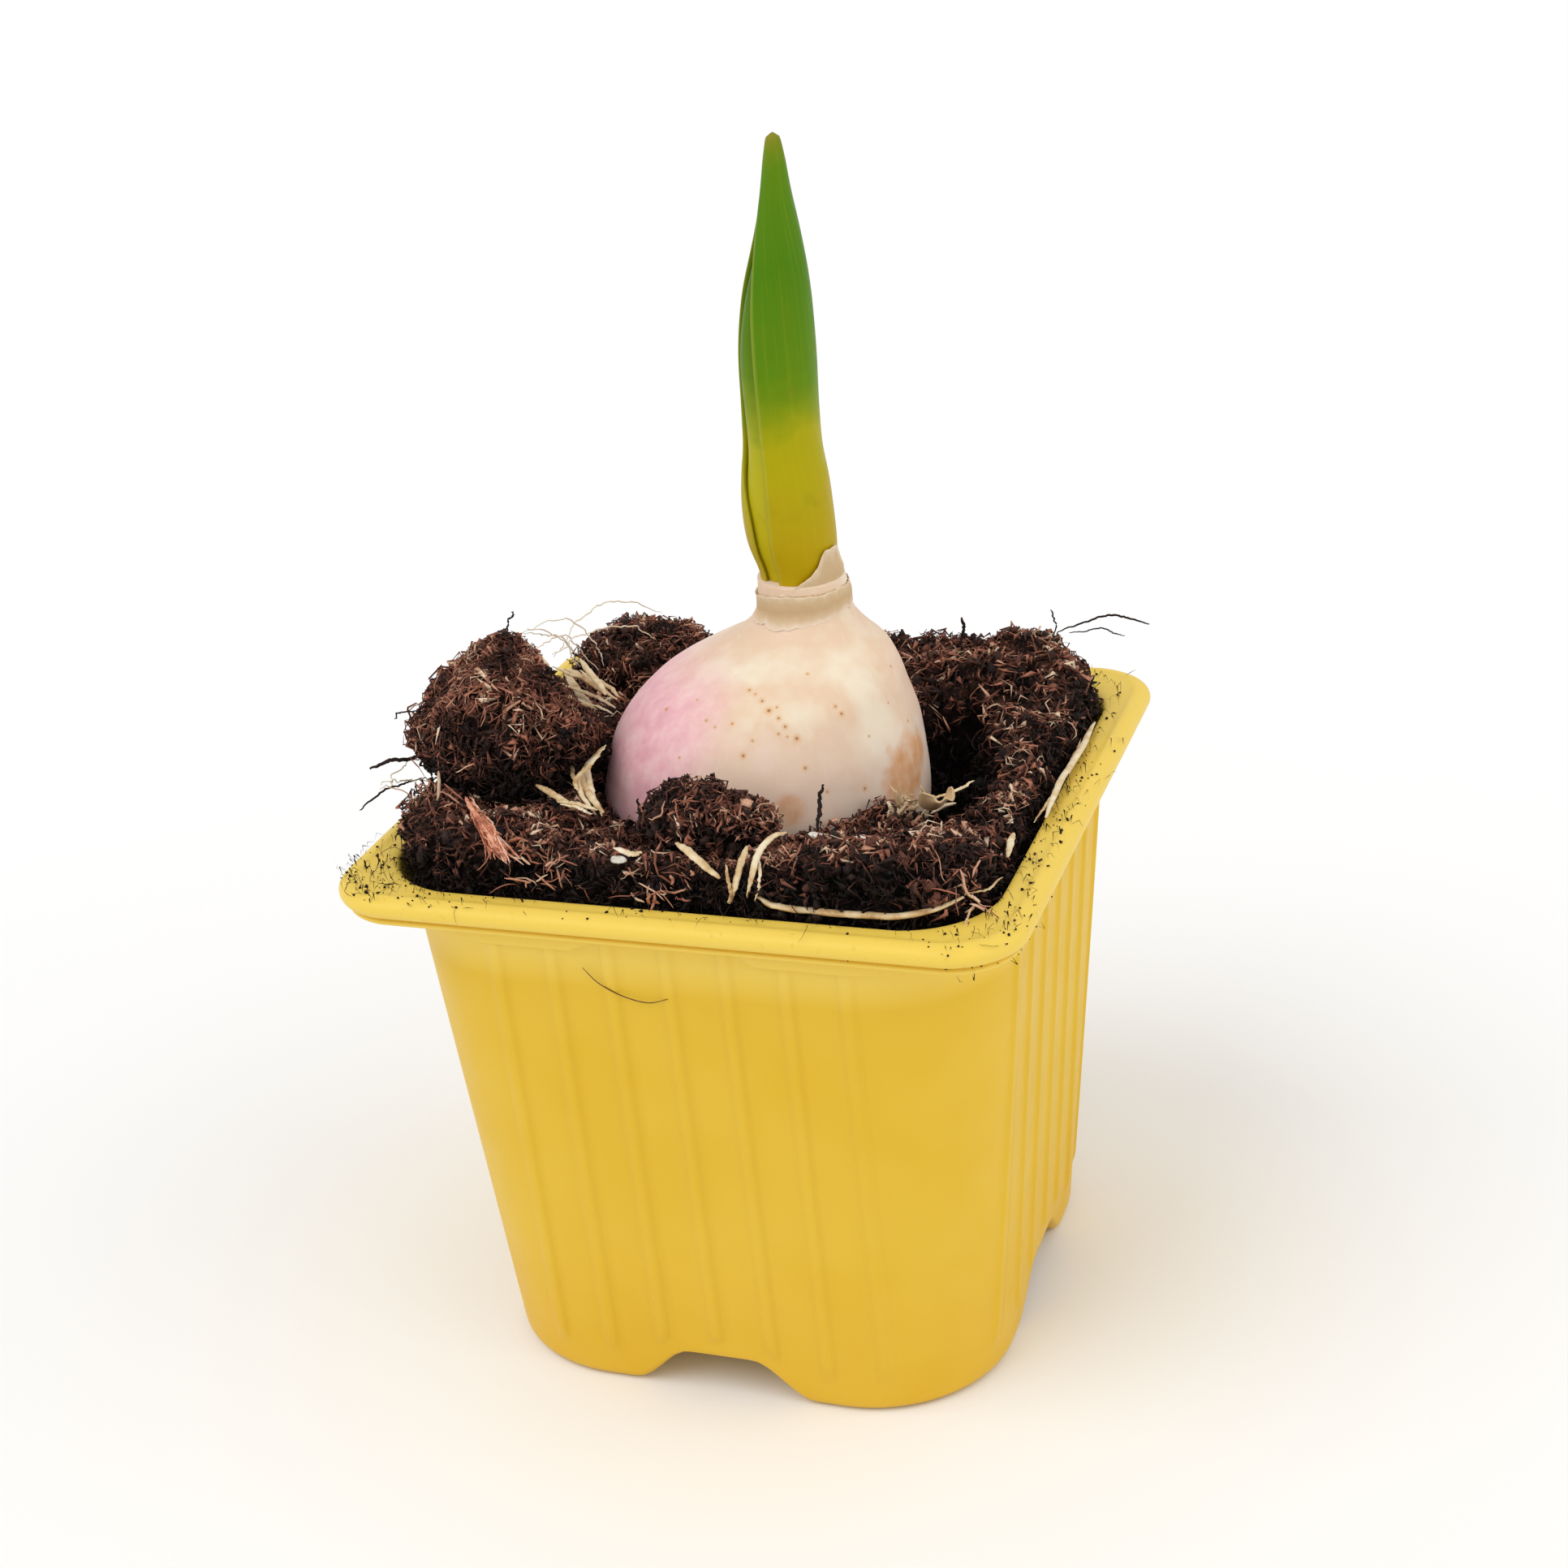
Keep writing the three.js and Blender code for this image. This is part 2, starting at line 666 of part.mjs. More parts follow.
function barkGeometry() {
  const section = ([z, width]) => [
    new THREE.Vector3(width, 0, z),
    new THREE.Vector3(0, width * BARK_FLATNESS, z),
    new THREE.Vector3(-width, 0, z),
    new THREE.Vector3(0, -width * BARK_FLATNESS, z),
  ];
  return skin(BARK_ROWS.map(section));
}

// Grains: [x, y, height over the rim, radius]
const PERLITE = {
  perlite_1: [15.4, -25.4, 5, 0.8],
  perlite_2: [21.2, -25, 6.8, 0.8],
  perlite_3: [-6.5, -36.4, 6.4, 0.8],
};

// ---------------------------------------------------------------- materials and assembly

const finish = (color, roughness) => new THREE.MeshStandardMaterial({ color, roughness, metalness: 0 });
const FINISH = {
  plastic: finish(0xe3bd3c, 0.45),
  compost: finish(0x3a241b, 0.95),
  bulb: finish(0xe9dcc2, 0.5),
  scale: finish(0xd8c7a4, 0.7),
  outerLeaf: finish(0x6f9a1e, 0.5),
  innerLeaf: finish(0x4f7a1c, 0.5),
  root: finish(0xd9c39a, 0.6),
  bark: finish(0xb4694a, 0.85),
  perlite: finish(0xe9e4d8, 0.8),
};

const plant = new THREE.Group();

function addPiece(name, geometry, material) {
  const piece = new THREE.Mesh(geometry, material);
  piece.name = name;
  plant.add(piece);
  return piece;
}

addPiece("square_pot", potGeometry(), FINISH.plastic);
addPiece("potting_compost", compostGeometry(), FINISH.compost);
for (const [name, clod] of Object.entries(CLODS)) addPiece(name, clodGeometry(clod), FINISH.compost);
addPiece("tulip_bulb", bulbGeometry(0), FINISH.bulb);
addPiece("neck_collar", collarGeometry(), FINISH.scale);
addPiece("outer_leaf", outerLeafGeometry(), FINISH.outerLeaf);
addPiece("inner_leaf", innerLeafGeometry(), FINISH.innerLeaf);
for (const [name, root] of Object.entries(ROOTS)) addPiece(name, tubeGeometry(root), FINISH.root);

const husk = addPiece("dry_husk", huskGeometry(), FINISH.scale);
husk.position.set(27.2, -14.4, POT_HEIGHT + 5.4);
husk.rotation.set(0.9, 0.5, -1.2);

const bark = addPiece("bark_splinter", barkGeometry(), FINISH.bark);
bark.position.set(-19.3, -41.2, POT_HEIGHT + 5.6);
bark.lookAt(-27.7, -33.8, POT_HEIGHT + 10.8);

for (const [name, [x, y, z, radius]] of Object.entries(PERLITE)) {
  const grain = addPiece(name, new THREE.IcosahedronGeometry(radius, 1), FINISH.perlite);
  grain.position.set(x, y, POT_HEIGHT + z);
}

export default plant;
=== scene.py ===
"""A sprouting tulip bulb, half out of the compost in a square ribbed nursery pot.

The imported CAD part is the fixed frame, and every CAD node is replaced by a finer piece in its own
place. Points are in millimetres until add_piece() turns them into metres. +Z is up, -Y is the front
wall, and the origin is the middle of the pot's footprint.
"""

import math

import bmesh
import bpy
import numpy as np
from mathutils import Matrix, Vector, noise
from mathutils.bvhtree import BVHTree


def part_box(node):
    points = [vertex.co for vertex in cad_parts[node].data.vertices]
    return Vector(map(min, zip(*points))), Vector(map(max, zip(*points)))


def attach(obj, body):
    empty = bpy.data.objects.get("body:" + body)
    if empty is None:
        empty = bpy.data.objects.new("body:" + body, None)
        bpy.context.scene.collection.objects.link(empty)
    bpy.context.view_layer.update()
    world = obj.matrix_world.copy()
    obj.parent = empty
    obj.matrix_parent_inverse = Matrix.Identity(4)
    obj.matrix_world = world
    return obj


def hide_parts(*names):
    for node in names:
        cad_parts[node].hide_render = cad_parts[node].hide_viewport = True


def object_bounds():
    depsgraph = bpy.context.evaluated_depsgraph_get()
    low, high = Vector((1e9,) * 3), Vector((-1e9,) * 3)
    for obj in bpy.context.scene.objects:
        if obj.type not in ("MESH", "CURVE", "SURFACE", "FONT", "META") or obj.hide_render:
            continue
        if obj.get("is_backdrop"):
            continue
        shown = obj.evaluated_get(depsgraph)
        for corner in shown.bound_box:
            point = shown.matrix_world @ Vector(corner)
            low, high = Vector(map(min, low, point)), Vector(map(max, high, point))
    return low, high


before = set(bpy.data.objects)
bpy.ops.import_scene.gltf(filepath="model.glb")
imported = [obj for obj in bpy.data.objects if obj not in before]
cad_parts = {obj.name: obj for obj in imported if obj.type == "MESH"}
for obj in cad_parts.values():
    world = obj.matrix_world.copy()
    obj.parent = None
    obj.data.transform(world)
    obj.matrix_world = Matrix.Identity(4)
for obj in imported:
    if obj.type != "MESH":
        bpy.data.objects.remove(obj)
CAD_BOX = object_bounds()

MM = 0.001
UP = np.array([0.0, 0.0, 1.0])


# ---------------------------------------------------------------- the frame, in millimetres

def node_box(name):
    low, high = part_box(name)
    return np.array(low) / MM, np.array(high) / MM


def node_mesh(name):
    """Points and triangles of a CAD node."""
    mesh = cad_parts[name].data
    mesh.calc_loop_triangles()
    points = np.array([v.co for v in mesh.vertices]) / MM
    triangles = np.array([t.vertices for t in mesh.loop_triangles])
    return points, triangles


def node_tree(name):
    points, triangles = node_mesh(name)
    return BVHTree.FromPolygons(points.tolist(), triangles.tolist())


RIM_HALF, _, RIM = node_box("square_pot")[1]  # half the rim's width, and the height of its top


# ---------------------------------------------------------------- numbers

def smooth(start, end, t):
    """0 up to start, 1 from end, and a smooth rise between them."""
    s = np.clip((t - start) / (end - start), 0, 1)
    return s * s * (3 - 2 * s)


def mix(a, b, t):
    return a + (b - a) * t


def bell(t, middle, spread):
    """1 at the middle, falling smoothly to 0 a few spreads away."""
    return np.exp(-(((t - middle) / spread) ** 2))


def unit(vectors):
    length = np.linalg.norm(vectors, axis=-1, keepdims=True)
    return vectors / np.maximum(length, 1e-9)


def fractal(points, size, octaves=3, seed=0):
    """Fractal noise at each point, about -1 to 1, with features of a size in millimetres."""
    shift = Vector((17.3 * seed, -9.1 * seed, 4.7 * seed))
    return np.array([noise.fractal(Vector(p) / size + shift, 1.0, 2.0, octaves) for p in points])


def ridges(points, size, octaves=3, seed=0):
    """Noise with sharp crests, about 0 to 1."""
    shift = Vector((5.3 * seed, 3.1 * seed, -8.7 * seed))
    values = [
        noise.ridged_multi_fractal(Vector(p) / size + shift, 1.0, 2.0, octaves, 1.0, 2.0)
        for p in points
    ]
    return np.array(values) * 0.5


def curve_through(knots, count):
    """Points evenly spread along a smooth curve through the knots, a list of rows of numbers."""
    knots = np.array(knots, float)
    ends = np.vstack([2 * knots[0] - knots[1], knots, 2 * knots[-1] - knots[-2]])
    t = np.linspace(0, len(knots) - 1, count)
    i = np.minimum(t.astype(int), len(knots) - 2)
    f = (t - i)[:, None]
    a, b, c, d = ends[i], ends[i + 1], ends[i + 2], ends[i + 3]
    return 0.5 * (
        2 * b + (c - a) * f + (2 * a - 5 * b + 4 * c - d) * f**2 + (3 * b - a - 3 * c + d) * f**3
    )


def table_at(table, heights):
    """Smoothly interpolated rows of a table whose first column rises, at many heights."""
    table = np.array(table, float)
    x, y = table[:, :1], table[:, 1:]
    slopes = np.gradient(y, x[:, 0], axis=0)
    i = np.clip(np.searchsorted(table[:, 0], heights) - 1, 0, len(table) - 2)
    width = x[i + 1] - x[i]
    t = np.clip((np.asarray(heights)[:, None] - x[i]) / width, 0, 1)
    return (
        (1 + 2 * t) * (1 - t) ** 2 * y[i]
        + t * (1 - t) ** 2 * width * slopes[i]
        + t**2 * (3 - 2 * t) * y[i + 1]
        + t**2 * (t - 1) * width * slopes[i + 1]
    )


# ---------------------------------------------------------------- surfaces

def loft(rings, wrap=True, cap_low=False, cap_high=False):
    """Points and faces of a surface through rings[ring, point], which run anticlockwise about the
    way that the rings progress. A cap closes an end with a fan."""
    count, around = rings.shape[:2]
    points = rings.reshape(-1, 3)
    row = np.arange(count - 1)[:, None] * around
    j = np.arange(around if wrap else around - 1)
    k = (j + 1) % around
    corners = [row + j, row + k, row + around + k, row + around + j]
    faces = [np.stack(corners, -1).reshape(-1, 4)]
    for wanted, start in ((cap_low, 0), (cap_high, (count - 1) * around)):
        if not wanted:
            continue
        middle = np.full(len(j), len(points))
        points = np.vstack([points, points[start : start + around].mean(0)])
        fan = [start + j, start + k, middle]
        faces.append(np.stack(fan if start else fan[::-1], -1))
    return points, faces


def closed_sheet(outer, inner):
    """Points and faces of a sheet with rims, from the rings of its two skins."""
    rings = np.concatenate([outer, inner[:, ::-1]], axis=1)
    points, faces = loft(rings)
    around = rings.shape[1]
    j = np.arange(around // 2 - 1)
    strip = np.stack([j, j + 1, around - 2 - j, around - 1 - j], -1)
    faces += [strip[:, ::-1], strip + (len(rings) - 1) * around]
    return points, faces


def tubes(paths, radii, sides=3, flatness=1.0, rng=None):
    """Closed tubes along paths[tube, step], with radii[tube, step]. A flatness under 1 makes
    ribbons, which rng turns at random about their paths."""
    count, steps = paths.shape[:2]
    along = unit(np.gradient(paths, axis=1))
    if rng is None:
        reference = np.broadcast_to(UP, (count, 1, 3))
    else:
        reference = unit(rng.normal(size=(count, 1, 3)))
    across = unit(np.cross(along, reference))
    other = np.cross(along, across)
    angle = np.arange(sides) * math.tau / sides
    ring = across[:, :, None] * np.cos(angle)[:, None]
    ring = ring + other[:, :, None] * (flatness * np.sin(angle))[:, None]
    points = paths[:, :, None] + ring * radii[:, :, None, None]
    first = np.arange(count)[:, None, None] * steps * sides
    row = first + np.arange(steps - 1)[:, None] * sides
    j = np.arange(sides)
    k = (j + 1) % sides
    quads = np.stack([row + j, row + k, row + sides + k, row + sides + j], -1).reshape(-1, 4)
    start = first[:, 0] + j[::-1]
    end = first[:, 0] + (steps - 1) * sides + j
    return points.reshape(-1, 3), [quads, start, end]


def blobs(centres, sizes, turns, rng, detail=1, roughness=0.25):
    """Small lumpy grains: icospheres of three sizes each, turned and dented at random."""
    sphere_points, sphere_faces = icosphere(detail)
    count = len(centres)
    dents = 1 + roughness * rng.normal(size=(count, len(sphere_points), 1)).clip(-1.6, 1.6)
    grains = sphere_points[None] * dents * sizes[:, None]
    grains = np.einsum("nij,npj->npi", turns, grains) + centres[:, None]
    first = np.arange(count)[:, None, None] * len(sphere_points)
    return grains.reshape(-1, 3), [(first + sphere_faces).reshape(-1, 3)]


def icosphere(detail):
    """Points and triangles of a unit icosphere; detail 1 has 20 triangles and 2 has 80."""
    mesh = bpy.data.meshes.new("icosphere")
    work = bmesh.new()
    bmesh.ops.create_icosphere(work, subdivisions=detail, radius=1)
    work.to_mesh(mesh)
    work.free()
    points = np.array([v.co for v in mesh.vertices])
    faces = np.array([p.vertices for p in mesh.polygons])
    bpy.data.meshes.remove(mesh)
    return points, faces


def random_turns(rng, count):
    """Random rotation matrices."""
    q = unit(rng.normal(size=(count, 4)))
    w, x, y, z = q.T
    rows = [
        [1 - 2 * (y * y + z * z), 2 * (x * y - z * w), 2 * (x * z + y * w)],
        [2 * (x * y + z * w), 1 - 2 * (x * x + z * z), 2 * (y * z - x * w)],
        [2 * (x * z - y * w), 2 * (y * z + x * w), 1 - 2 * (x * x + y * y)],
    ]
    return np.moveaxis(np.array(rows), 2, 0)


def joined(parts):
    """Several (points, faces, tint) as one; tint is a number or one for each point."""
    points, faces, tints, first = [], [], [], 0
    for part_points, part_faces, tint in parts:
        points.append(part_points)
        faces.extend(face + first for face in part_faces)
        tints.append(np.broadcast_to(tint, len(part_points)))
        first += len(part_points)
    return np.vstack(points), faces, np.concatenate(tints)


def add_piece(name, points, faces, material, stands_for=(), slot=None, **fields):
    """A mesh object from points in millimetres. Each field is a number for each point, which the
    material reads by its name."""
    mesh = bpy.data.meshes.new(name)
    corners = np.concatenate([face.ravel() for face in faces]).astype(np.int32)
    sizes = np.concatenate([np.full(len(face), face.shape[1]) for face in faces])
    starts = np.concatenate([[0], np.cumsum(sizes)[:-1]]).astype(np.int32)
    mesh.vertices.add(len(points))
    mesh.vertices.foreach_set("co", (np.asarray(points) * MM).astype(np.float32).ravel())
    mesh.loops.add(len(corners))
    mesh.loops.foreach_set("vertex_index", corners)
    mesh.polygons.add(len(sizes))
    mesh.polygons.foreach_set("loop_start", starts)
    mesh.polygons.foreach_set("use_smooth", np.ones(len(sizes), bool))
    for field, values in fields.items():
        attribute = mesh.attributes.new(field, "FLOAT", "POINT")
        attribute.data.foreach_set("value", np.asarray(values, np.float32))
    mesh.update(calc_edges=True)
    mesh.validate()
    mesh.materials.append(material)
    piece = bpy.data.objects.new(name, mesh)
    bpy.context.scene.collection.objects.link(piece)
    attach(piece, "root")
    if stands_for:
        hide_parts(*stands_for)
    return piece


class Ground:
    """A surface that fibres, roots and crumbs lie on."""

    def __init__(self, points, faces):
        triangles = [face[:, :3] for face in faces]
        triangles += [face[:, [0, 2, 3]] for face in faces if face.shape[1] == 4]
        self.triangles = np.vstack(triangles)
        self.points = points
        self.tree = BVHTree.FromPolygons(points.tolist(), self.triangles.tolist())

    def scatter(self, rng, count, weight):
        """Random places and their normals. weight(places, normals) favours some over others."""
        a, b, c = (self.points[self.triangles[:, i]] for i in range(3))
        cross = np.cross(b - a, c - a)
        area = np.linalg.norm(cross, axis=1) / 2
        normals = unit(cross)
        chance = area * weight((a + b + c) / 3, normals)
        picked = rng.choice(len(area), size=count, p=chance / chance.sum())
        u, v = rng.random((2, count, 1))
        over = u + v > 1
        u, v = np.where(over, 1 - u, u), np.where(over, 1 - v, v)
        places = a[picked] + u * (b - a)[picked] + v * (c - a)[picked]
        return places, normals[picked]

    def nearest(self, point):
        place, normal, _, _ = self.tree.find_nearest(Vector(point))
        return np.array(place), np.array(normal)

    def crawl(self, start, normal, direction, length, steps, curl, lift):
        """A path over the surface: it turns by curl at each step, and stands off by lift."""
        step = length / (steps - 1)
        place, path = start, []
        for i in range(steps):
            path.append(place + normal * lift[i])
            direction = direction - normal * direction.dot(normal)
            turned = math.cos(curl[i]) * direction + math.sin(curl[i]) * np.cross(normal, direction)
            direction = turned / max(np.linalg.norm(turned), 1e-9)
            place, normal = self.nearest(place + direction * step)
        return path

    def fibres(self, rng, count, weight, length, radius, curl=0.5, lift=0.5, steps=6, flatness=0.6):
        """Curly strands that lie on the surface. length and radius are (least, most)."""
        places, normals = self.scatter(rng, count, weight)
        directions = rng.normal(size=(count, 3))
        lengths = mix(length[0], length[1], rng.random(count) ** 2)
        turns = rng.normal(scale=curl, size=(count, 1)) + rng.normal(scale=curl, size=(count, steps))
        arch = np.sin(np.linspace(0, math.pi, steps)) * rng.random((count, 1)) * lift
        tips = rng.random((count, 2)) * lift * np.array([0.2, 1.2])
        lifts = arch + tips[:, :1] + (tips[:, 1:] - tips[:, :1]) * np.linspace(0, 1, steps)
        paths = [
            self.crawl(places[i], normals[i], directions[i], lengths[i], steps, turns[i], lifts[i])
            for i in range(count)
        ]
        taper = 1 - 0.75 * np.linspace(-1, 1, steps) ** 4
        radii = mix(radius[0], radius[1], rng.random((count, 1)) ** 2) * taper
        return tubes(np.array(paths), radii, 3, flatness, rng)

    def crumbs(self, rng, count, weight, size):
        """Grains that are partly sunk in the surface. size is (least, most)."""
        places, normals = self.scatter(rng, count, weight)
        sizes = mix(size[0], size[1], rng.random((count, 1)) ** 2.5)
        stretch = mix(0.6, 1, rng.random((count, 3)))
        centres = places + normals * sizes * 0.4
        return blobs(centres, sizes * stretch, random_turns(rng, count), rng)


# ---------------------------------------------------------------- materials

class Finish:
    """A Principled material, with short calls for its nodes."""

    def __init__(self, name, **constants):
        self.material = bpy.data.materials.new(name)
        self.material.use_nodes = True
        self.nodes = self.material.node_tree.nodes
        self.links = self.material.node_tree.links
        self.shader = self.nodes["Principled BSDF"]
        for socket, value in constants.items():
            self.shader.inputs[socket.replace("_", " ")].default_value = value
        self.place = self.node("ShaderNodeTexCoord").outputs["Object"]

    def node(self, kind, inputs=None, **settings):
        made = self.nodes.new(kind)
        for key, value in settings.items():
            setattr(made, key, value)
        for key, value in (inputs or {}).items():
            if isinstance(value, bpy.types.NodeSocket):
                self.links.new(value, made.inputs[key])
            else:
                made.inputs[key].default_value = value
        return made

    def field(self, name):
        """A number that add_piece() stored for each point."""
        return self.node("ShaderNodeAttribute", attribute_name=name).outputs["Fac"]

    def height(self):
        """Height over the rim in millimetres."""
        z = self.node("ShaderNodeSeparateXYZ", {"Vector": self.place}).outputs["Z"]
        return self.math("MULTIPLY_ADD", z, 1 / MM, -RIM)

    def math(self, operation, a, b=0.0, c=0.0):
        inputs = {0: a, 1: b, 2: c}
        return self.node("ShaderNodeMath", inputs, operation=operation).outputs[0]

    def stretched(self, x, y, z):
        """Object coordinates scaled along each axis."""
        mapping = self.node("ShaderNodeMapping", {"Vector": self.place, "Scale": (x, y, z)})
        return mapping.outputs["Vector"]

    def noise(self, size, detail=3.0, rough=0.5, vector=None, distortion=0.0):
        """Noise from 0 to 1 with features of a size in millimetres."""
        inputs = {
            "Vector": vector or self.place,
            "Scale": 1 / (size * MM),
            "Detail": detail,
            "Roughness": rough,
            "Distortion": distortion,
        }
        return self.node("ShaderNodeTexNoise", inputs).outputs["Fac"]

    def range(self, value, start, end, low=0.0, high=1.0):
        """value's stretch from start to end, as a smooth stretch from low to high."""
        inputs = {"Value": value, "From Min": start, "From Max": end, "To Min": low, "To Max": high}
        made = self.node("ShaderNodeMapRange", inputs, interpolation_type="SMOOTHSTEP")
        return made.outputs["Result"]

    def share(self, value, start, end):
        """How far a value is from start to end, from 0 to 1."""
        inputs = {"Value": value, "From Min": start, "From Max": end}
        return self.node("ShaderNodeMapRange", inputs).outputs["Result"]

    def ramp(self, value, stops):
        """Colours along a value: [(position, (r, g, b)), ...]."""
        made = self.node("ShaderNodeValToRGB", {"Fac": value})
        ramp = made.color_ramp
        while len(ramp.elements) < len(stops):
            ramp.elements.new(0.5)
        for element, (position, colour) in zip(ramp.elements, stops):
            element.position = position
            element.color = (*colour, 1)
        return made.outputs["Color"]

    def blend(self, factor, a, b, mode="MIX"):
        """Colour a turning to colour b."""
        made = self.node("ShaderNodeMix", data_type="RGBA", blend_type=mode)
        for key, value in ((0, factor), (6, a), (7, b)):
            if isinstance(value, bpy.types.NodeSocket):
                self.links.new(value, made.inputs[key])
            else:
                made.inputs[key].default_value = value if key == 0 else (*value, 1)
        return made.outputs[2]

    def bump(self, height, depth, strength=1.0):
        """Bumps of a depth in millimetres."""
        inputs = {"Height": height, "Distance": depth * MM, "Strength": strength}
        normal = self.node("ShaderNodeBump", inputs).outputs["Normal"]
        self.links.new(normal, self.shader.inputs["Normal"])

    def set(self, socket, value):
        self.links.new(value, self.shader.inputs[socket])


def srgb(r, g, b):
    """A colour from its 0 to 255 values as they are seen."""
    seen = np.array([r, g, b]) / 255
    linear = np.where(seen <= 0.04045, seen / 12.92, ((seen + 0.055) / 1.055) ** 2.4)
    return tuple(float(v) for v in linear)


def plastic_finish():
    f = Finish("pot_plastic_finish", Specular_IOR_Level=0.3)
    # Tone by height is painted light: the wall is a little darker at its foot, painted shade, and the rim's
    # top is paler, a painted highlight.
    tone = f.range(f.height(), -RIM, 0)
    stops = [(0, srgb(222, 176, 34)), (0.25, srgb(224, 183, 42)), (0.93, srgb(222, 180, 32))]
    colour = f.ramp(tone, [*stops, (0.97, srgb(236, 202, 84))])
    cloud = f.range(f.noise(16, 2), 0.35, 0.65, 0, 0.15)
    colour = f.blend(cloud, colour, srgb(236, 202, 78))
    dirt = f.math("MULTIPLY", f.range(f.noise(1.2, 5, 0.7), 0.6, 0.7), f.range(f.height(), -7, 0))
    colour = f.blend(f.math("MULTIPLY", dirt, 0.22), colour, srgb(150, 104, 44))
    f.set("Base Color", colour)
    f.set("Roughness", f.range(f.noise(5, 4), 0.3, 0.7, 0.4, 0.5))
    f.bump(f.noise(0.8, 2), 0.03, 0.4)
    return f.material


def compost_finish():
    """Peat: near black flecked with reddish brown, times the field shade. That is painted shade,
    which runs from 0 in a hollow to 1 on top, so the peat is near black in its depths."""
    f = Finish("compost_finish", Roughness=0.95, Specular_IOR_Level=0.12)
    base = f.ramp(
        f.noise(1.4, 6, 0.7, distortion=0.8),
        [(0.36, srgb(12, 8, 7)), (0.5, srgb(40, 26, 21)), (0.64, srgb(104, 68, 56))],
    )
    shade = f.range(f.field("shade"), 0, 1, 0.12, 1)
    f.set("Base Color", f.blend(1.0, base, shade, "MULTIPLY"))
    f.bump(f.noise(0.6, 6, 0.7, distortion=0.8), 0.4, 0.9)
    return f.material


def fibre_finish():
    f = Finish("fibre_finish", Roughness=0.75, Specular_IOR_Level=0.25)
    stops = [
        (0, srgb(14, 9, 8)),
        (0.22, srgb(54, 34, 28)),
        (0.45, srgb(116, 70, 55)),
        (0.72, srgb(176, 114, 90)),
        (0.9, srgb(212, 166, 136)),
        (1, srgb(232, 206, 176)),
    ]
    shade = f.math("MULTIPLY_ADD", f.noise(0.8, 3), 0.3, f.math("SUBTRACT", f.field("tint"), 0.15))
    f.set("Base Color", f.ramp(shade, stops))
    f.bump(f.noise(0.25, 2), 0.05, 0.6)
    return f.material


def bulb_finish(marks):
    """Cream flesh with a pink flush. marks are brown specks: [(place, radius), ...]."""
    f = Finish("bulb_finish", Specular_IOR_Level=0.3, Subsurface_Weight=0.08)
    f.shader.inputs["Subsurface Radius"].default_value = (1.0, 0.6, 0.4)
    f.shader.inputs["Subsurface Scale"].default_value = 0.001
    cream = f.ramp(
        f.noise(11, 3, 0.55),
        [(0.36, srgb(235, 220, 195)), (0.52, srgb(228, 198, 168)), (0.66, srgb(233, 207, 184))],
    )
    # Paler towards the bottom: partly the flesh's own tone near the compost, and partly painted light that
    # lifts the shade there.
    low = f.range(f.height(), 15, 3, 0, 0.5)
    cream = f.blend(low, cream, srgb(240, 214, 200))
    pink = f.ramp(
        f.noise(2.4, 5, 0.6),
        [(0.34, srgb(228, 168, 178)), (0.5, srgb(236, 182, 188)), (0.68, srgb(240, 198, 198))],
    )
    colour = f.blend(f.field("flush"), cream, pink)
    rust = f.ramp(f.noise(2, 4), [(0.35, srgb(222, 158, 106)), (0.7, srgb(234, 190, 150))])
    colour = f.blend(f.field("rust"), colour, rust)
    wobble = f.node("ShaderNodeTexNoise", {"Scale": 1 / (0.5 * MM), "Detail": 2.0}).outputs["Color"]
    shift = f.node(
        "ShaderNodeVectorMath", {0: wobble, 1: (0.5 * MM,) * 3, 2: f.place}, operation="MULTIPLY_ADD"
    ).outputs[0]
    nearest = 0.0
    for place, radius in marks:
        centre = tuple(float(v) * MM + 0.25 * MM for v in place)
        away = f.node("ShaderNodeVectorMath", {0: shift, 1: centre}, operation="DISTANCE").outputs["Value"]
        nearest = f.math("MAXIMUM", nearest, f.math("MULTIPLY_ADD", away, -1 / (radius * MM), 3))
    colour = f.blend(f.range(nearest, 0, 2.2, 0, 0.55), colour, srgb(220, 164, 96))
    colour = f.blend(f.range(nearest, 2, 2.6, 0, 0.8), colour, srgb(132, 78, 38))
    nerves = f.noise(1.1, 2, vector=f.stretched(1, 1, 0.12))
    colour = f.blend(f.range(nerves, 0.5, 0.8, 0, 0.12), colour, srgb(250, 240, 222))
    f.set("Base Color", colour)
    f.set("Roughness", f.range(f.noise(3, 4), 0.3, 0.7, 0.48, 0.62))
    f.bump(f.math("MULTIPLY_ADD", f.noise(1.3, 3), 0.6, nerves), 0.06, 0.5)
    return f.material


def scale_finish():
    """Papery skin. The field tint runs from its foot, 0, to its free edge, 1."""
    f = Finish("papery_scale_finish", Roughness=0.62, Specular_IOR_Level=0.25)
    tone = f.math("MULTIPLY_ADD", f.noise(1.4, 4, 0.6), 0.3, f.math("SUBTRACT", f.field("tint"), 0.15))
    stops = [
        (0, srgb(230, 208, 184)),
        (0.2, srgb(214, 186, 150)),
        (0.5, srgb(200, 168, 126)),
        (0.8, srgb(206, 178, 138)),
        (1, srgb(230, 208, 176)),
    ]
    f.set("Base Color", f.ramp(tone, stops))
    f.bump(f.noise(0.5, 2, vector=f.stretched(1, 1, 0.15)), 0.1, 0.6)
    return f.material


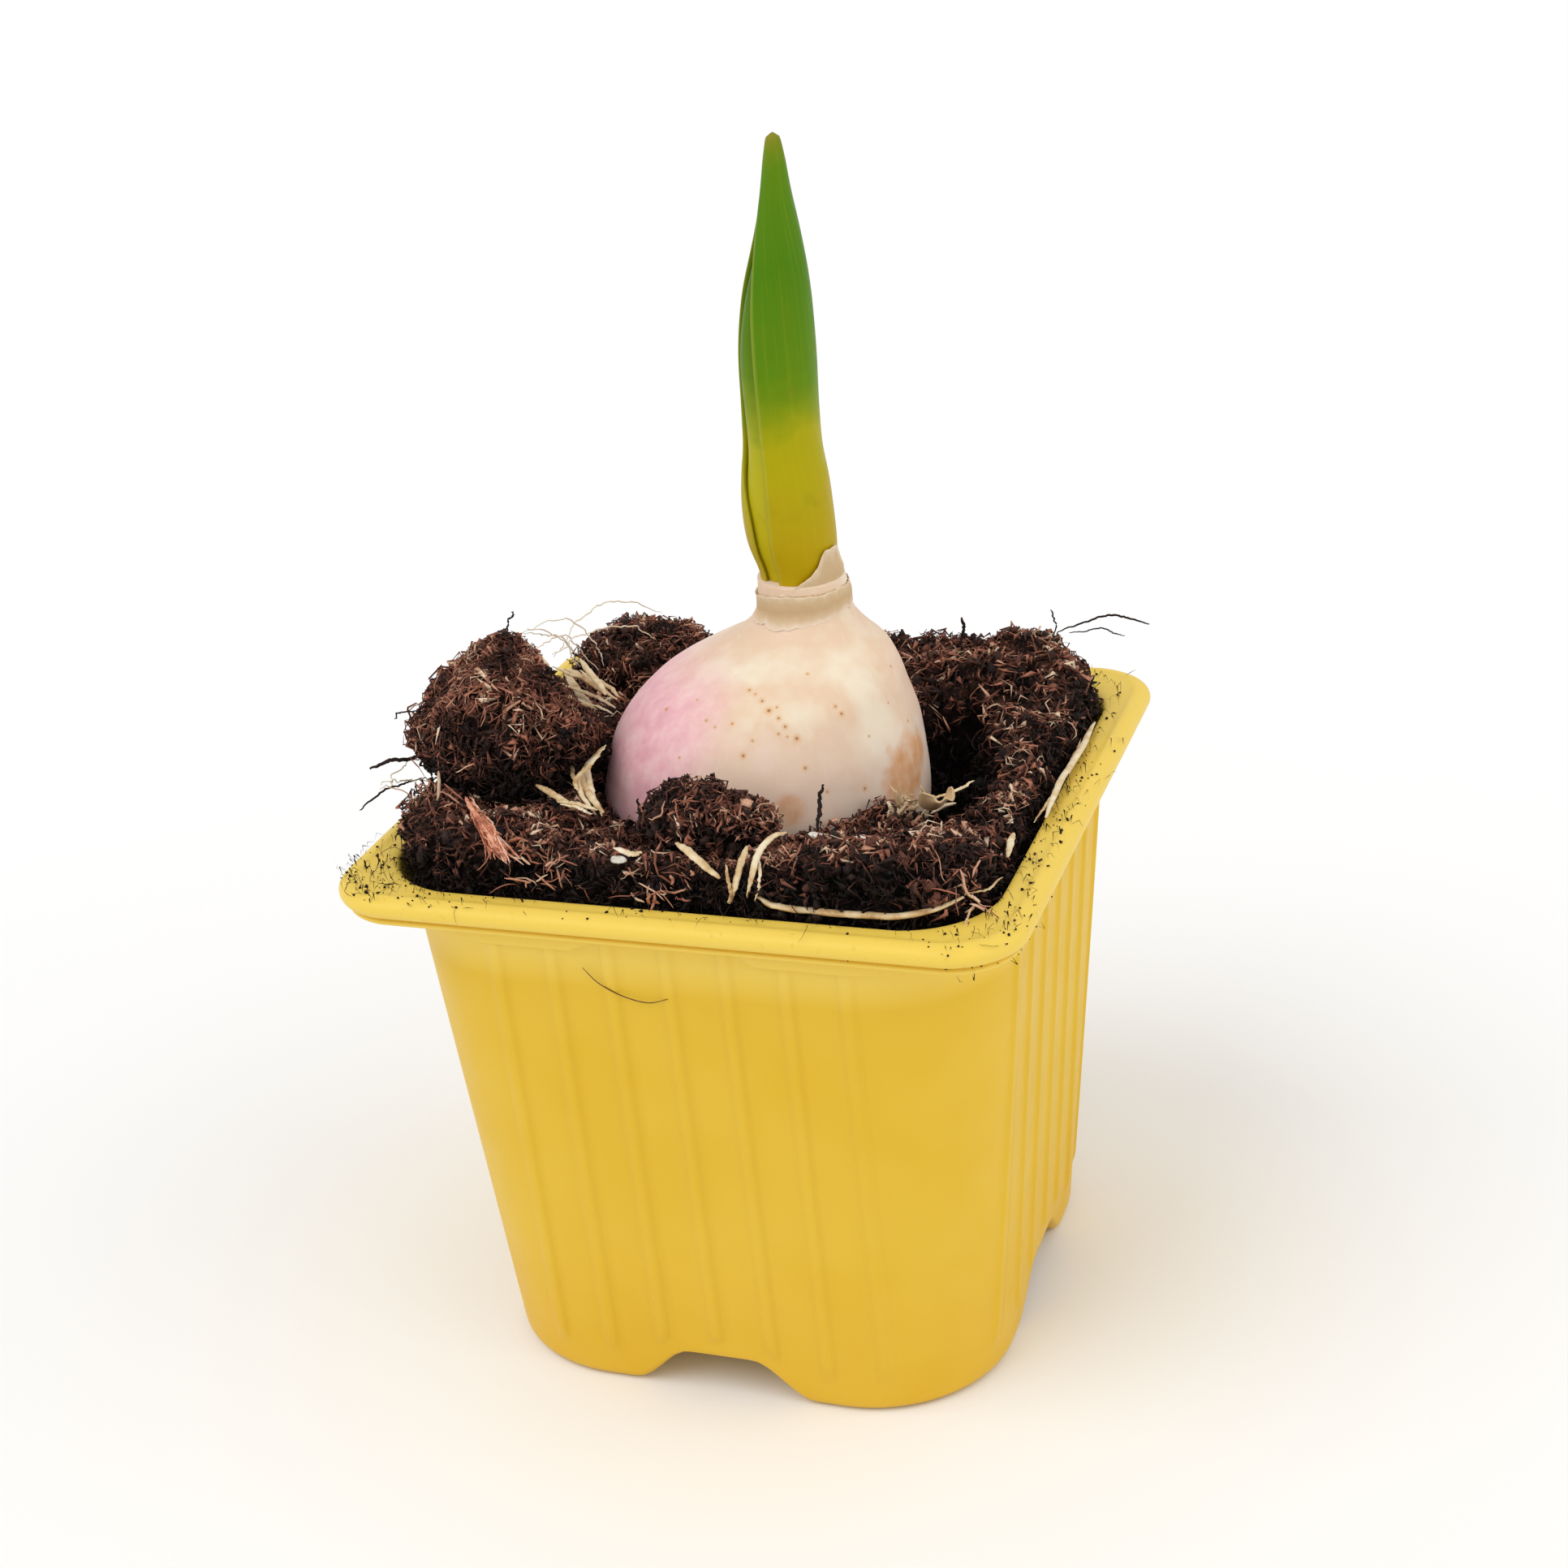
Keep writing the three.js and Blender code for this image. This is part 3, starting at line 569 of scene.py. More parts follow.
def leaf_finish(name, base, middle, top):
    """A waxy leaf: yellow at its base, then green, with parallel veins and a bloom at its margins."""
    f = Finish(name, Specular_IOR_Level=0.12, Subsurface_Weight=0.05)
    f.shader.inputs["Subsurface Radius"].default_value = (0.5, 0.8, 0.2)
    f.shader.inputs["Subsurface Scale"].default_value = 0.001
    wave = f.math("MULTIPLY_ADD", f.noise(6, 3), 9.0, f.height())
    stops = [
        (0, base[0]),
        (0.18, base[1]),
        (0.37, middle[0]),
        (0.42, middle[1]),
        (0.5, top[0]),
        (0.72, top[1]),
        (0.9, top[2]),
        (0.95, srgb(116, 130, 20)),
        (1, srgb(150, 124, 40)),
    ]
    colour = f.ramp(f.share(wave, 28, 91), stops)
    veins = f.node("ShaderNodeCombineXYZ", {"X": f.field("across"), "Z": f.height()})
    fine = f.node("ShaderNodeVectorMath", {0: veins.outputs[0], 1: (46, 0, 0.03)}, operation="MULTIPLY")
    vein = f.node("ShaderNodeTexNoise", {"Vector": fine.outputs[0], "Scale": 1.0, "Detail": 2.0})
    vein = vein.outputs["Fac"]
    colour = f.blend(f.range(vein, 0.5, 0.7, 0, 0.07), colour, srgb(186, 190, 40))
    patches = f.range(f.noise(4, 4), 0.52, 0.74, 0, 0.22)
    colour = f.blend(patches, colour, srgb(112, 122, 8))
    colour = f.blend(f.range(f.field("margin"), 0.2, 1, 0, 0.4), colour, srgb(176, 176, 60))
    f.set("Base Color", colour)
    f.set("Roughness", f.range(f.noise(2, 3), 0.3, 0.7, 0.38, 0.5))
    f.bump(vein, 0.05, 0.5)
    return f.material


def root_finish():
    f = Finish("root_finish", Roughness=0.5, Specular_IOR_Level=0.3)
    tone = f.math("ADD", f.noise(2.2, 4, 0.6), f.field("tint"))
    stops = [
        (0.25, srgb(150, 108, 66)),
        (0.4, srgb(200, 166, 118)),
        (0.58, srgb(226, 204, 164)),
        (0.85, srgb(240, 230, 208)),
    ]
    f.set("Base Color", f.ramp(tone, stops))
    f.bump(f.noise(0.5, 3), 0.05, 0.5)
    return f.material


def bark_finish():
    f = Finish("bark_finish", Roughness=0.85, Specular_IOR_Level=0.25)
    tone = f.math("ADD", f.noise(1.1, 5, 0.6), f.field("tint"))
    stops = [
        (0.3, srgb(150, 86, 64)),
        (0.46, srgb(214, 140, 110)),
        (0.6, srgb(236, 184, 156)),
        (0.85, srgb(246, 220, 198)),
    ]
    f.set("Base Color", f.ramp(tone, stops))
    f.bump(f.noise(0.4, 4), 0.25, 0.8)
    return f.material


def perlite_finish():
    f = Finish("perlite_finish", Roughness=0.8, Specular_IOR_Level=0.3)
    f.set("Base Color", f.ramp(f.noise(0.7, 4), [(0.3, srgb(196, 186, 166)), (0.6, srgb(238, 234, 224))]))
    f.bump(f.noise(0.35, 4), 0.25, 0.9)
    return f.material


# ---------------------------------------------------------------- pot

MOUTH_HALF = 39.8
WALL_BASE_HALF = 35.2
WALL_TOP_HALF = 40.5
WALL_CORNER = 18.5
WALL_TOP = RIM - 4
WALL_THICKNESS = 1.1
SOLE_ROUND = 1.6
RIB_COUNT = 7
RIB_PITCH = 7.65
RIB_HEIGHT = 0.42
RIB_BOTTOM = 6
RIB_TOP_HALF = 0.65
RIB_FOOT_HALF = 1.15
LEDGE_HEIGHT = WALL_TOP - 2.5
LEDGE_DEPTH = 1.4  # deeper than the part's, so that its edge reads
LEDGE_START = 10.2
FOOT_ZONE = 14  # the wall is stretched below this height to follow the feet
CHANNEL_ROOF = 5.8
CHANNEL_ROOF_HALF = 4.4
CHANNEL_MOUTH_HALF = 12.8
DRAIN_RADIUS = 3
DRAIN_OFFSET = 20
CORNER_STEPS = 18

# The rim from its underside over the bead and the flange to the mouth: [drop from the top, half
# width, corner radius]
RIM_ROWS = [
    [4.05, 42.4, 7.2],
    [3.9, 43.45, 7.9],
    [3.6, 43.85, 8.3],
    [3.25, 43.8, 8.3],
    [3.02, 43.35, 7.8],
    [2.85, 43.55, 8],
    [2.5, 44.5, 9],
    [2, 44.9, 9.4],
    [1.4, 45, 9.5],
    [0.8, 44.8, 9.3],
    [0.35, 44.3, 8.8],
    [0.05, 43.5, 8.2],
    [0, 42.9, 7.9],
    [0.15, 42.4, 7.8],
    [0.25, 41.8, 8.3],
    [0.28, 40.8, 10],
    [0.4, 40.1, 11.5],
    [0.8, 39.8, 12],
    [2, 39.7, 12.6],
    [4, 39.5, 14],
    [7.4, 39.1, 17],
]


def rib_stops():
    """Distances from a wall's middle where the pot has points: close together over each rib."""
    stops = list(np.arange(-24.7, 25, 1.3))
    for rib in range(RIB_COUNT):
        middle = (rib - (RIB_COUNT - 1) / 2) * RIB_PITCH
        stops += [middle + offset for offset in (-1.2, -0.95, -0.7, 0, 0.7, 0.95, 1.2)]
    stops.sort()
    spaced = [stops[0]]
    for stop in stops[1:]:
        if stop - spaced[-1] > 0.16:
            spaced.append(stop)
    return np.array(spaced)


STOPS = rib_stops()


def square_ring(half, corner, z, rise=None):
    """A rounded square, anticlockwise from above. rise is how far it stands off at each of STOPS,
    and the last one holds round the corner."""
    rise = np.zeros(len(STOPS)) if rise is None else rise
    straight = half - corner
    past = np.maximum(0, np.abs(STOPS) - straight)
    out = straight + np.sqrt(np.maximum(corner**2 - past**2, 0)) + rise
    first = math.asin(min(1, max(0, (STOPS[-1] - straight) / corner)))
    angle = mix(first, math.pi / 2 - first, np.arange(1, CORNER_STEPS) / CORNER_STEPS)
    reach = corner + rise[-1]
    along = np.concatenate([STOPS, straight + reach * np.sin(angle)])
    out = np.concatenate([out, straight + reach * np.cos(angle)])
    walls = []
    for wall in range(4):
        turn = (wall - 1) * math.pi / 2
        x = out * math.cos(turn) - along * math.sin(turn)
        y = out * math.sin(turn) + along * math.cos(turn)
        walls.append(np.stack([x, y, np.full(len(x), float(z))], 1))
    return np.concatenate(walls)


def wall_half(z):
    return mix(WALL_BASE_HALF, WALL_TOP_HALF, z / WALL_TOP)


def channel_height(ring):
    """Height of the drainage channels' roof over each point."""
    across = np.minimum(np.abs(ring[:, 0]), np.abs(ring[:, 1]))
    return CHANNEL_ROOF * (1 - smooth(CHANNEL_ROOF_HALF, CHANNEL_MOUTH_HALF, across))


def wall_rise(z):
    """How far the ribs and the corner ledges stand off the wall at a height."""
    offset = np.abs(STOPS) % RIB_PITCH
    near = np.minimum(offset, RIB_PITCH - offset)
    ribbed = np.abs(STOPS) < RIB_COUNT * RIB_PITCH / 2
    ribs = RIB_HEIGHT * (1 - smooth(RIB_TOP_HALF, RIB_FOOT_HALF, near)) * ribbed
    ribs = ribs * smooth(RIB_BOTTOM - 1.5, RIB_BOTTOM + 1, z)
    beyond = np.abs(STOPS) - LEDGE_START
    tip = np.minimum(beyond, z - LEDGE_HEIGHT + 0.35 * np.minimum(beyond - 1.5, 0))
    return np.maximum(ribs, LEDGE_DEPTH * smooth(0, 0.3, tip))


def outer_wall_rings():
    rings = []
    for angle in np.linspace(math.pi / 2, 0, 7)[:-1]:
        inset = SOLE_ROUND * (1 - math.cos(angle))
        z = SOLE_ROUND * (1 - math.sin(angle))
        rings.append(square_ring(wall_half(z) - inset, WALL_CORNER - inset, z))
    heights = [*np.linspace(SOLE_ROUND, FOOT_ZONE, 14), *np.linspace(17, LEDGE_HEIGHT - 0.3, 15)]
    heights += [*np.linspace(LEDGE_HEIGHT - 0.1, LEDGE_HEIGHT + 0.7, 8), WALL_TOP - 0.8, WALL_TOP - 0.05]
    for z in heights:
        rings.append(square_ring(wall_half(z), WALL_CORNER, z, wall_rise(z)))
    for ring in rings:
        flat = ring[0, 2]
        if flat < FOOT_ZONE:
            ring[:, 2] += channel_height(ring) * (1 - flat / FOOT_ZONE)
            ring[:, :2] *= (wall_half(ring[:, 2]) / wall_half(flat))[:, None]
    return rings


def level_rings(outer, height, shares):
    """Rings that shrink towards the middle, each point at height(ring)."""
    rings = []
    for share in shares:
        ring = outer * [share, share, 1]
        ring[:, 2] = height(ring)
        rings.append(ring)
    return rings


def pot():
    wall = outer_wall_rings()
    sole = wall[0]
    shares = np.linspace(0.04, 0.97, 15)
    under = level_rings(sole, channel_height, shares)
    rim = [square_ring(half, corner, RIM - drop) for drop, half, corner in curve_through(RIM_ROWS, 46)]
    inner = [
        square_ring(wall_half(z) - WALL_THICKNESS, WALL_CORNER - WALL_THICKNESS, z)
        for z in np.linspace(LEDGE_HEIGHT - 4, CHANNEL_ROOF + 4, 6)
    ]
    inset = WALL_THICKNESS + SOLE_ROUND
    rest = square_ring(WALL_BASE_HALF - inset, WALL_CORNER - inset, 0)

    def floor_height(ring):
        return channel_height(ring * (1 - WALL_THICKNESS / RIM_HALF)) + WALL_THICKNESS

    floor = level_rings(rest, floor_height, shares[::-1])
    rings = np.array([*under, *wall, *rim, *inner, *floor])
    points, faces = loft(rings, cap_low=True, cap_high=True)
    piece = add_piece("nursery_pot", points, faces, plastic_finish(), ["square_pot"], "pot_plastic")
    drill(piece)
    return Ground(*loft(np.array([*wall[-4:], *rim])))


def drill(piece):
    """Cuts the drain holes."""
    places = [(0, 0)]
    places += [(DRAIN_OFFSET * c, DRAIN_OFFSET * s) for c, s in ((1, 0), (0, 1), (-1, 0), (0, -1))]
    angles = np.arange(32) * math.tau / 32
    parts = []
    for x, y in places:
        ring = np.stack([x + DRAIN_RADIUS * np.cos(angles), y + DRAIN_RADIUS * np.sin(angles)], 1)
        rings = np.array([np.column_stack([ring, np.full(32, z)]) for z in (-2.0, 2 * CHANNEL_ROOF)])
        parts.append((*loft(rings, cap_low=True, cap_high=True), 0))
    points, faces, _ = joined(parts)
    drills = add_piece("drills", points, faces, piece.data.materials[0])
    cut = piece.modifiers.new("drain_holes", "BOOLEAN")
    cut.operation = "DIFFERENCE"
    cut.solver = "EXACT"
    cut.object = drills
    bake_modifiers(piece)
    bpy.data.objects.remove(drills)


def bake_modifiers(piece):
    graph = bpy.context.evaluated_depsgraph_get()
    mesh = bpy.data.meshes.new_from_object(piece.evaluated_get(graph))
    piece.modifiers.clear()
    piece.data = mesh


# ---------------------------------------------------------------- bulb and collar

LEAN = math.radians(20.5)  # the way that the neck leans
FACING = math.radians(-69.5)  # the side that the camera sees

FLUSH_MIDDLE = math.radians(-152)  # the middle of the pink side
FLUSH_BACK = math.radians(75)  # a fainter flush at the back

# Marks on the flesh: [angle round the axis in degrees, height over the rim, radius]
SPECKS = [
    [-95, 17.2, 0.19],
    [-90, 16.9, 0.13],
    [-84, 16.3, 0.21],
    [-78, 15.4, 0.32],
    [-75, 15.7, 0.15],
    [-72, 14.6, 0.21],
    [-68, 13.7, 0.21],
    [-70, 13, 0.15],
    [-62, 12.3, 0.29],
    [-66, 12.6, 0.13],
    [-46, 14.9, 0.19],
    [-43, 14, 0.25],
    [-105, 14.1, 0.17],
    [-99, 13.6, 0.15],
    [-92, 14.1, 0.17],
    [-80, 12.4, 0.15],
    [-82, 10.8, 0.25],
    [-58, 8.9, 0.21],
    [-130, 13.9, 0.21],
    [-108, 9.9, 0.15],
    [-65, 18.5, 0.15],
    [-3, 16.3, 0.15],
    [-15, 13, 0.13],
    [-5, 9.5, 0.17],
    [-112, 6.5, 0.17],
    [-50, 5.5, 0.17],
    [-35, 4.5, 0.21],
    [-30, 10.5, 0.13],
    [-118, 15.6, 0.13],
    [35, 12, 0.21],
    [60, 8, 0.25],
    [95, 14, 0.17],
    [140, 10, 0.21],
    [170, 15, 0.17],
]
# Rusty patches: [angle, height, radius, strength]
RUST = [
    [-14, 3.4, 5, 1],
    [-4, 5.2, 4, 1],
    [-20, -1, 4, 0.8],
    [-63, 4, 2.4, 0.75],
    [-90, 4, 3, 0.3],
    [100, 3, 5, 0.7],
    [190, 2.5, 4, 0.5],
]


def node_sections(name):
    """[height, middle x, middle y, radius] of each level ring that a CAD node is made of."""
    points, _ = node_mesh(name)
    levels = np.round(points[:, 2], 1)
    rows = []
    for level in np.unique(levels):
        ring = points[levels == level]
        low, high = ring.min(0), ring.max(0)
        middle, size = (low + high) / 2, high - low
        rows.append([middle[2], middle[0], middle[1], (size[0] + size[1]) / 4])
    return np.array(rows)


BULB_ROWS = node_sections("tulip_bulb")


def bulb_at(z):
    """[middle x, middle y, radius] of the bulb at each height over the ground."""
    return table_at(BULB_ROWS, np.clip(z, BULB_ROWS[0, 0], BULB_ROWS[-1, 0]))


def round_rings(sections, heights, around):
    """Level rings of a table of sections."""
    angles = np.arange(around) * math.tau / around
    rows = table_at(sections, heights)
    x = rows[:, 0:1] + rows[:, 2:3] * np.cos(angles)
    y = rows[:, 1:2] + rows[:, 2:3] * np.sin(angles)
    z = np.broadcast_to(np.asarray(heights)[:, None], x.shape)
    return np.stack([x, y, z], -1)


def on_bulb(angle, height):
    """The point of the bulb's skin at an angle in degrees and a height over the rim."""
    x, y, radius = bulb_at([RIM + height])[0]
    angle = math.radians(angle)
    return np.array([x + radius * math.cos(angle), y + radius * math.sin(angle), RIM + height])


def bulb():
    around = 240
    low, high = BULB_ROWS[0, 0], BULB_ROWS[-1, 0]
    heights = np.concatenate([np.linspace(low, RIM - 6, 14)[:-1], np.linspace(RIM - 6, high, 110)])
    rings = round_rings(BULB_ROWS, heights, around)
    flat = rings.reshape(-1, 3)
    middle = np.repeat(bulb_at(heights), around, axis=0)
    outward = unit(np.column_stack([flat[:, :2] - middle[:, :2], 0 * flat[:, 2]]))
    swell = 0.3 * fractal(flat, 13, 2, 1) + 0.05 * fractal(flat, 3.5, 2, 2)
    flat = flat + outward * (swell * smooth(high, high - 6, flat[:, 2]))[:, None]
    points, faces = loft(flat.reshape(rings.shape), cap_low=True, cap_high=True)
    skin = Ground(points, faces)
    marks = [(skin.nearest(on_bulb(angle, height))[0], radius) for angle, height, radius in SPECKS]
    blotch = 0.35 * fractal(points, 2.2, 3, 3)
    rust = np.max([
        strength * smooth(1.1, 0.5, np.linalg.norm(points - on_bulb(a, h), axis=1) / r + blotch)
        for a, h, r, strength in RUST
    ], axis=0)
    round_axis = np.arctan2(points[:, 1], points[:, 0])
    side = np.cos(round_axis - FLUSH_MIDDLE)
    height = points[:, 2] - RIM
    edge = 0.16 * fractal(points, 7, 3, 4) + 0.1 * smooth(6, 15, height)
    flush = smooth(0.25, 0.9, side + edge) * smooth(20.5, 14, height)
    back = smooth(0.3, 1, np.cos(round_axis - FLUSH_BACK)) * smooth(18, 12, height)
    flush = np.maximum(flush * mix(1, 0.8, smooth(6, -2, height)), 0.35 * back)
    add_piece(
        "bulb", points, faces, bulb_finish(marks), ["tulip_bulb"], "bulb_flesh", rust=rust, flush=flush
    )


def neck_radius(z):
    """What the collar wraps at a height: the bulb's neck and, over it, the shoot."""
    low = bulb_at(z)
    shoot = table_at(SHOOT, np.asarray(z) - RIM)
    x = mix(low[:, 0], shoot[:, 1] * math.cos(LEAN), smooth(RIM + 26, RIM + 30, z))
    y = mix(low[:, 1], shoot[:, 1] * math.sin(LEAN), smooth(RIM + 26, RIM + 30, z))
    radius = np.where(np.asarray(z) > RIM + 27, np.maximum(shoot[:, 0], 5.6), low[:, 2])
    return np.stack([x, y, radius], 1)


def collar_layer(low_edge, high_edge, stand_off, seed):
    """A papery sheet round the neck between two ragged edges, which are functions of the angle from
    FACING, in degrees, anticlockwise. It lies flush at its foot."""
    around, rows, thickness = 200, 20, 0.14
    turn = np.arange(around) * 360 / around - 180
    angles = np.radians(turn) + FACING
    edge_noise = np.column_stack([4 * np.cos(angles), 4 * np.sin(angles), np.full(around, 3.0 * seed)])
    bottom = RIM + low_edge(turn) + 0.5 * fractal(edge_noise, 1.1, 4, seed)
    top = RIM + high_edge(turn) + 0.24 * fractal(edge_noise, 1.8, 3, seed + 5)
    share = np.linspace(0, 1, rows)[:, None]
    z = mix(bottom, top, share)
    neck = neck_radius(z.ravel()).reshape(rows, around, 3)
    crinkle_at = np.stack([4 * np.cos(angles) + 0 * z, 4 * np.sin(angles) + 0 * z, 0.35 * z], -1)
    crinkle = 0.09 * fractal(crinkle_at.reshape(-1, 3), 0.8, 3, seed + 9).reshape(z.shape)
    flare = 0.12 * smooth(0.85, 1, share) + 0.06 * np.maximum(z - RIM - 28.5, 0)
    off = 0.03 + (stand_off + crinkle) * smooth(0, 0.7, share)
    radius = neck[..., 2] + off + flare
    outer = np.stack([
        neck[..., 0] + radius * np.cos(angles), neck[..., 1] + radius * np.sin(angles), z
    ], -1)
    shrink = thickness * np.sin(math.pi * np.clip(share, 0.06, 0.94)) ** 0.3
    inner = outer - shrink[..., None] * np.stack([np.cos(angles), np.sin(angles), 0 * angles], -1)
    points, faces = loft(np.concatenate([outer, inner[::-1], outer[:1]]))
    tint = np.concatenate([np.repeat(share, around, 1)] * 2 + [share[:1] + 0 * z[:1]]).ravel()
    return points, faces, tint


def collar():
    def lobe_edge(turn):
        rise = 2 * smooth(-30, 18, turn) + 1.2 * smooth(10, 30, turn) + 2.1 * smooth(24, 42, turn)
        fall = 1 - smooth(60, 100, turn)
        return 27.2 + rise * fall - 1.1 * smooth(-10, -95, turn) * (1 - smooth(120, 180, np.abs(turn)))

    def band_edge(turn):
        return 26.9 - 0.9 * smooth(-20, -95, turn) * (1 - smooth(130, 180, np.abs(turn)))

    def band_foot(turn):
        return 22.5 + 1.4 * smooth(-40, 60, turn) - 1.2 * smooth(100, 170, np.abs(turn))

    def lobe_foot(turn):
        return 24.4 + 0 * turn

    layers = [
        collar_layer(lobe_foot, lobe_edge, 0.02, 1),
        collar_layer(band_foot, band_edge, 0.14, 2),
    ]
    points, faces, tint = joined(layers)
    add_piece("papery_collar", points, faces, scale_finish(), ["neck_collar"], "papery_scale", tint=tint)


# ---------------------------------------------------------------- shoot

# Height over the rim, radius, sideways lean of the axis, and the rolled leaf's two margins, in
# degrees clockwise from FACING, as in the part's source.
SHOOT = [
    [28.9, 5, 6.6, 34, 64],
    [32, 5.7, 6.1, 32, 60],
    [36.5, 5.9, 5.75, 30, 60],
    [41, 5.65, 5.7, 31, 76],
    [45, 5.1, 5.7, 35, 94],
    [50, 4.95, 5.75, 40, 106],
    [57.5, 4.85, 6, 48, 112],
    [62, 4.5, 6.3, 54, 110],
    [66, 4.05, 6.6, 58, 106],
    [70, 3.35, 6.9, 64, 104],
    [74, 2.6, 7.1, 74, 104],
    [78, 1.85, 7.2, 84, 104],
    [82, 1.3, 7.3, 90, 104],
    [85.5, 0.6, 7.35, 93, 103],
]
LEAF_THICKNESS = 0.9
LEAF_SHARE = 0.45  # the most of the shoot's radius that the outer leaf takes up
MARGIN_SHARE = 0.035  # of the leaf's width, where its margins thin out
LIP = 0.12  # the first margin stands off this far
INNER_LEAF_TOP = 80
TIP_WEAR = 0.8  # the tip is this much lower than the table's last row
TIP_RADIUS = 0.8
SEAM_TURN = 8  # degrees, how far the seam turns towards the front where the leaf swells
BULGE = 0.8  # the leaves swell on the side of their margins
BULGE_HEIGHT = 60
BULGE_SPREAD = 11
BULGE_SIDE = FACING - math.pi / 2
SHOOT_FOOT = 26.4  # the visible leaves go on down inside the collar


def shoot_rows(top, count):
    heights = np.linspace(SHOOT_FOOT, top, count)
    rows = table_at(SHOOT, np.maximum(heights, SHOOT[0][0]))
    reach = count // 24
    window = np.hanning(2 * reach + 3)[1:-1]
    padded = np.vstack([2 * rows[0] - rows[reach:0:-1], rows, 2 * rows[-1] - rows[-2 : -reach - 2 : -1]])
    rows = np.stack([np.convolve(column, window / window.sum(), "valid") for column in padded.T], 1)
    depth = np.clip((SHOOT[-1][0] - TIP_WEAR - heights) / TIP_RADIUS, 0.01, 1)
    rows[:, 0] = np.maximum(rows[:, 0], TIP_RADIUS) * np.sqrt(depth * (2 - depth))
    return heights, rows


def leaf_bulge(heights, angles):
    side = np.clip(np.cos(angles - BULGE_SIDE), 0, 1) ** 2
    return BULGE * side * bell(heights, BULGE_HEIGHT, BULGE_SPREAD)


def leaf_points(heights, lean, radius, angles):
    """Points round the leaning axis of the shoot. heights, over the rim, and lean are columns."""
    x = lean * math.cos(LEAN) + radius * np.cos(angles)
    y = lean * math.sin(LEAN) + radius * np.sin(angles)
    return np.stack([x, y, np.broadcast_to(RIM + heights, x.shape)], -1)


def outer_leaf():
    heights, rows = shoot_rows(SHOOT[-1][0] - TIP_WEAR, 120)
    heights = heights[:, None]
    radius, lean, first, second = (column[:, None] for column in rows.T)
    across = np.linspace(0, 1, 65)
    start = FACING - np.radians(first - SEAM_TURN * bell(heights, BULGE_HEIGHT, BULGE_SPREAD))
    end = FACING - np.radians(second) + math.tau
    angles = mix(start, end, across)
    near = np.minimum(across, 1 - across)
    thin = np.sqrt(np.clip(near / MARGIN_SHARE, 0.02, 1))
    thickness = np.minimum(LEAF_THICKNESS, radius * LEAF_SHARE) * thin
    lip = LIP * smooth(2 * MARGIN_SHARE, 0, across) * smooth(28, 34, heights)
    outside = radius + lip - LIP * smooth(0.03, 0, near) + leaf_bulge(heights, angles)
    outer = leaf_points(heights, lean, outside, angles)
    inner = leaf_points(heights, lean, outside - thickness, angles)
    points, faces = closed_sheet(outer, inner)
    both = np.concatenate([across, across[::-1]])
    margin = smooth(MARGIN_SHARE, 0, np.minimum(both, 1 - both))
    tall = np.ones((len(heights), 1))
    finish = leaf_finish(
        "outer_leaf_finish",
        (srgb(188, 152, 0), srgb(182, 156, 0)),
        (srgb(170, 162, 0), srgb(134, 148, 0)),
        (srgb(92, 132, 0), srgb(74, 122, 0), srgb(88, 128, 6)),
    )
    add_piece(
        "rolled_leaf", points, faces, finish, ["outer_leaf"], "leaf",
        across=(tall * both).ravel(), margin=(tall * margin).ravel(),
    )


def inner_leaf():
    heights, rows = shoot_rows(INNER_LEAF_TOP, 110)
    heights = heights[:, None]
    radius, lean = rows[:, 0:1], rows[:, 1:2]
    inside = radius - np.minimum(LEAF_THICKNESS, radius * LEAF_SHARE) - 0.05
    angles = np.arange(96) * math.tau / 96
    seam = 0.25 * smooth(0.5, 0, np.abs(angles - (FACING - math.radians(72) + math.tau)))
    inside = np.maximum(inside + seam + leaf_bulge(heights, angles), 0.05)
    rings = leaf_points(heights, lean, inside, angles)
    points, faces = loft(rings, cap_low=True, cap_high=True)
    finish = leaf_finish(
        "inner_leaf_finish",
        (srgb(190, 162, 10), srgb(192, 176, 22)),
        (srgb(176, 172, 30), srgb(136, 150, 20)),
        (srgb(96, 130, 16), srgb(66, 110, 10), srgb(78, 116, 24)),
    )
    across = np.append(np.tile(angles / math.tau, len(rings)), [0, 0])
    add_piece(
        "inner_leaf_blade", points, faces, finish, ["inner_leaf"], "leaf",
        across=across, margin=0 * across,
    )


# ---------------------------------------------------------------- compost and clods

PLUG_AROUND = 560
PLUG_FLOOR = CHANNEL_ROOF + WALL_THICKNESS + 0.5
PLUG_EDGE_HALF = 37.2
PLUG_GAP = 0.3


def evenly(ring, count):
    """A closed ring's points spread evenly along it."""
    closed = np.vstack([ring, ring[:1]])
    reach = np.concatenate([[0], np.cumsum(np.linalg.norm(np.diff(closed, axis=0), axis=1))])
    wanted = np.arange(count) * reach[-1] / count
    return np.stack([np.interp(wanted, reach, closed[:, i]) for i in range(3)], 1)


def ring_normals(rings):
    """Outward normals of rings that loft() takes."""
    along = np.roll(rings, -1, axis=1) - np.roll(rings, 1, axis=1)
    onward = np.gradient(rings, axis=0)
    return unit(np.cross(along, onward))


# Where the loose top has settled under the CAD solid: [x, y, depth, radius]
SETTLED = [[25.5, -23, 3, 7.5], [16, -26.5, 1.2, 5]]
CALM_ZONE = (21.8, 25)  # distances from the bulb's axis over which the compost turns rough
SPILL = [4, -21, 10]  # the left edge bulges over the rim: by how much, middle y, spread


def plug_heights(tree, ring):
    """The loose compost's height under each point."""
    down = Vector((0, 0, -1))
    sky = 2 * RIM
    heights = np.array([tree.ray_cast(Vector((x, y, sky)), down)[0].z for x, y in ring[:, :2]])
    for x, y, depth, radius in SETTLED:
        heights -= depth * bell(ring[:, 0], x, radius) * bell(ring[:, 1], y, radius)
    return heights


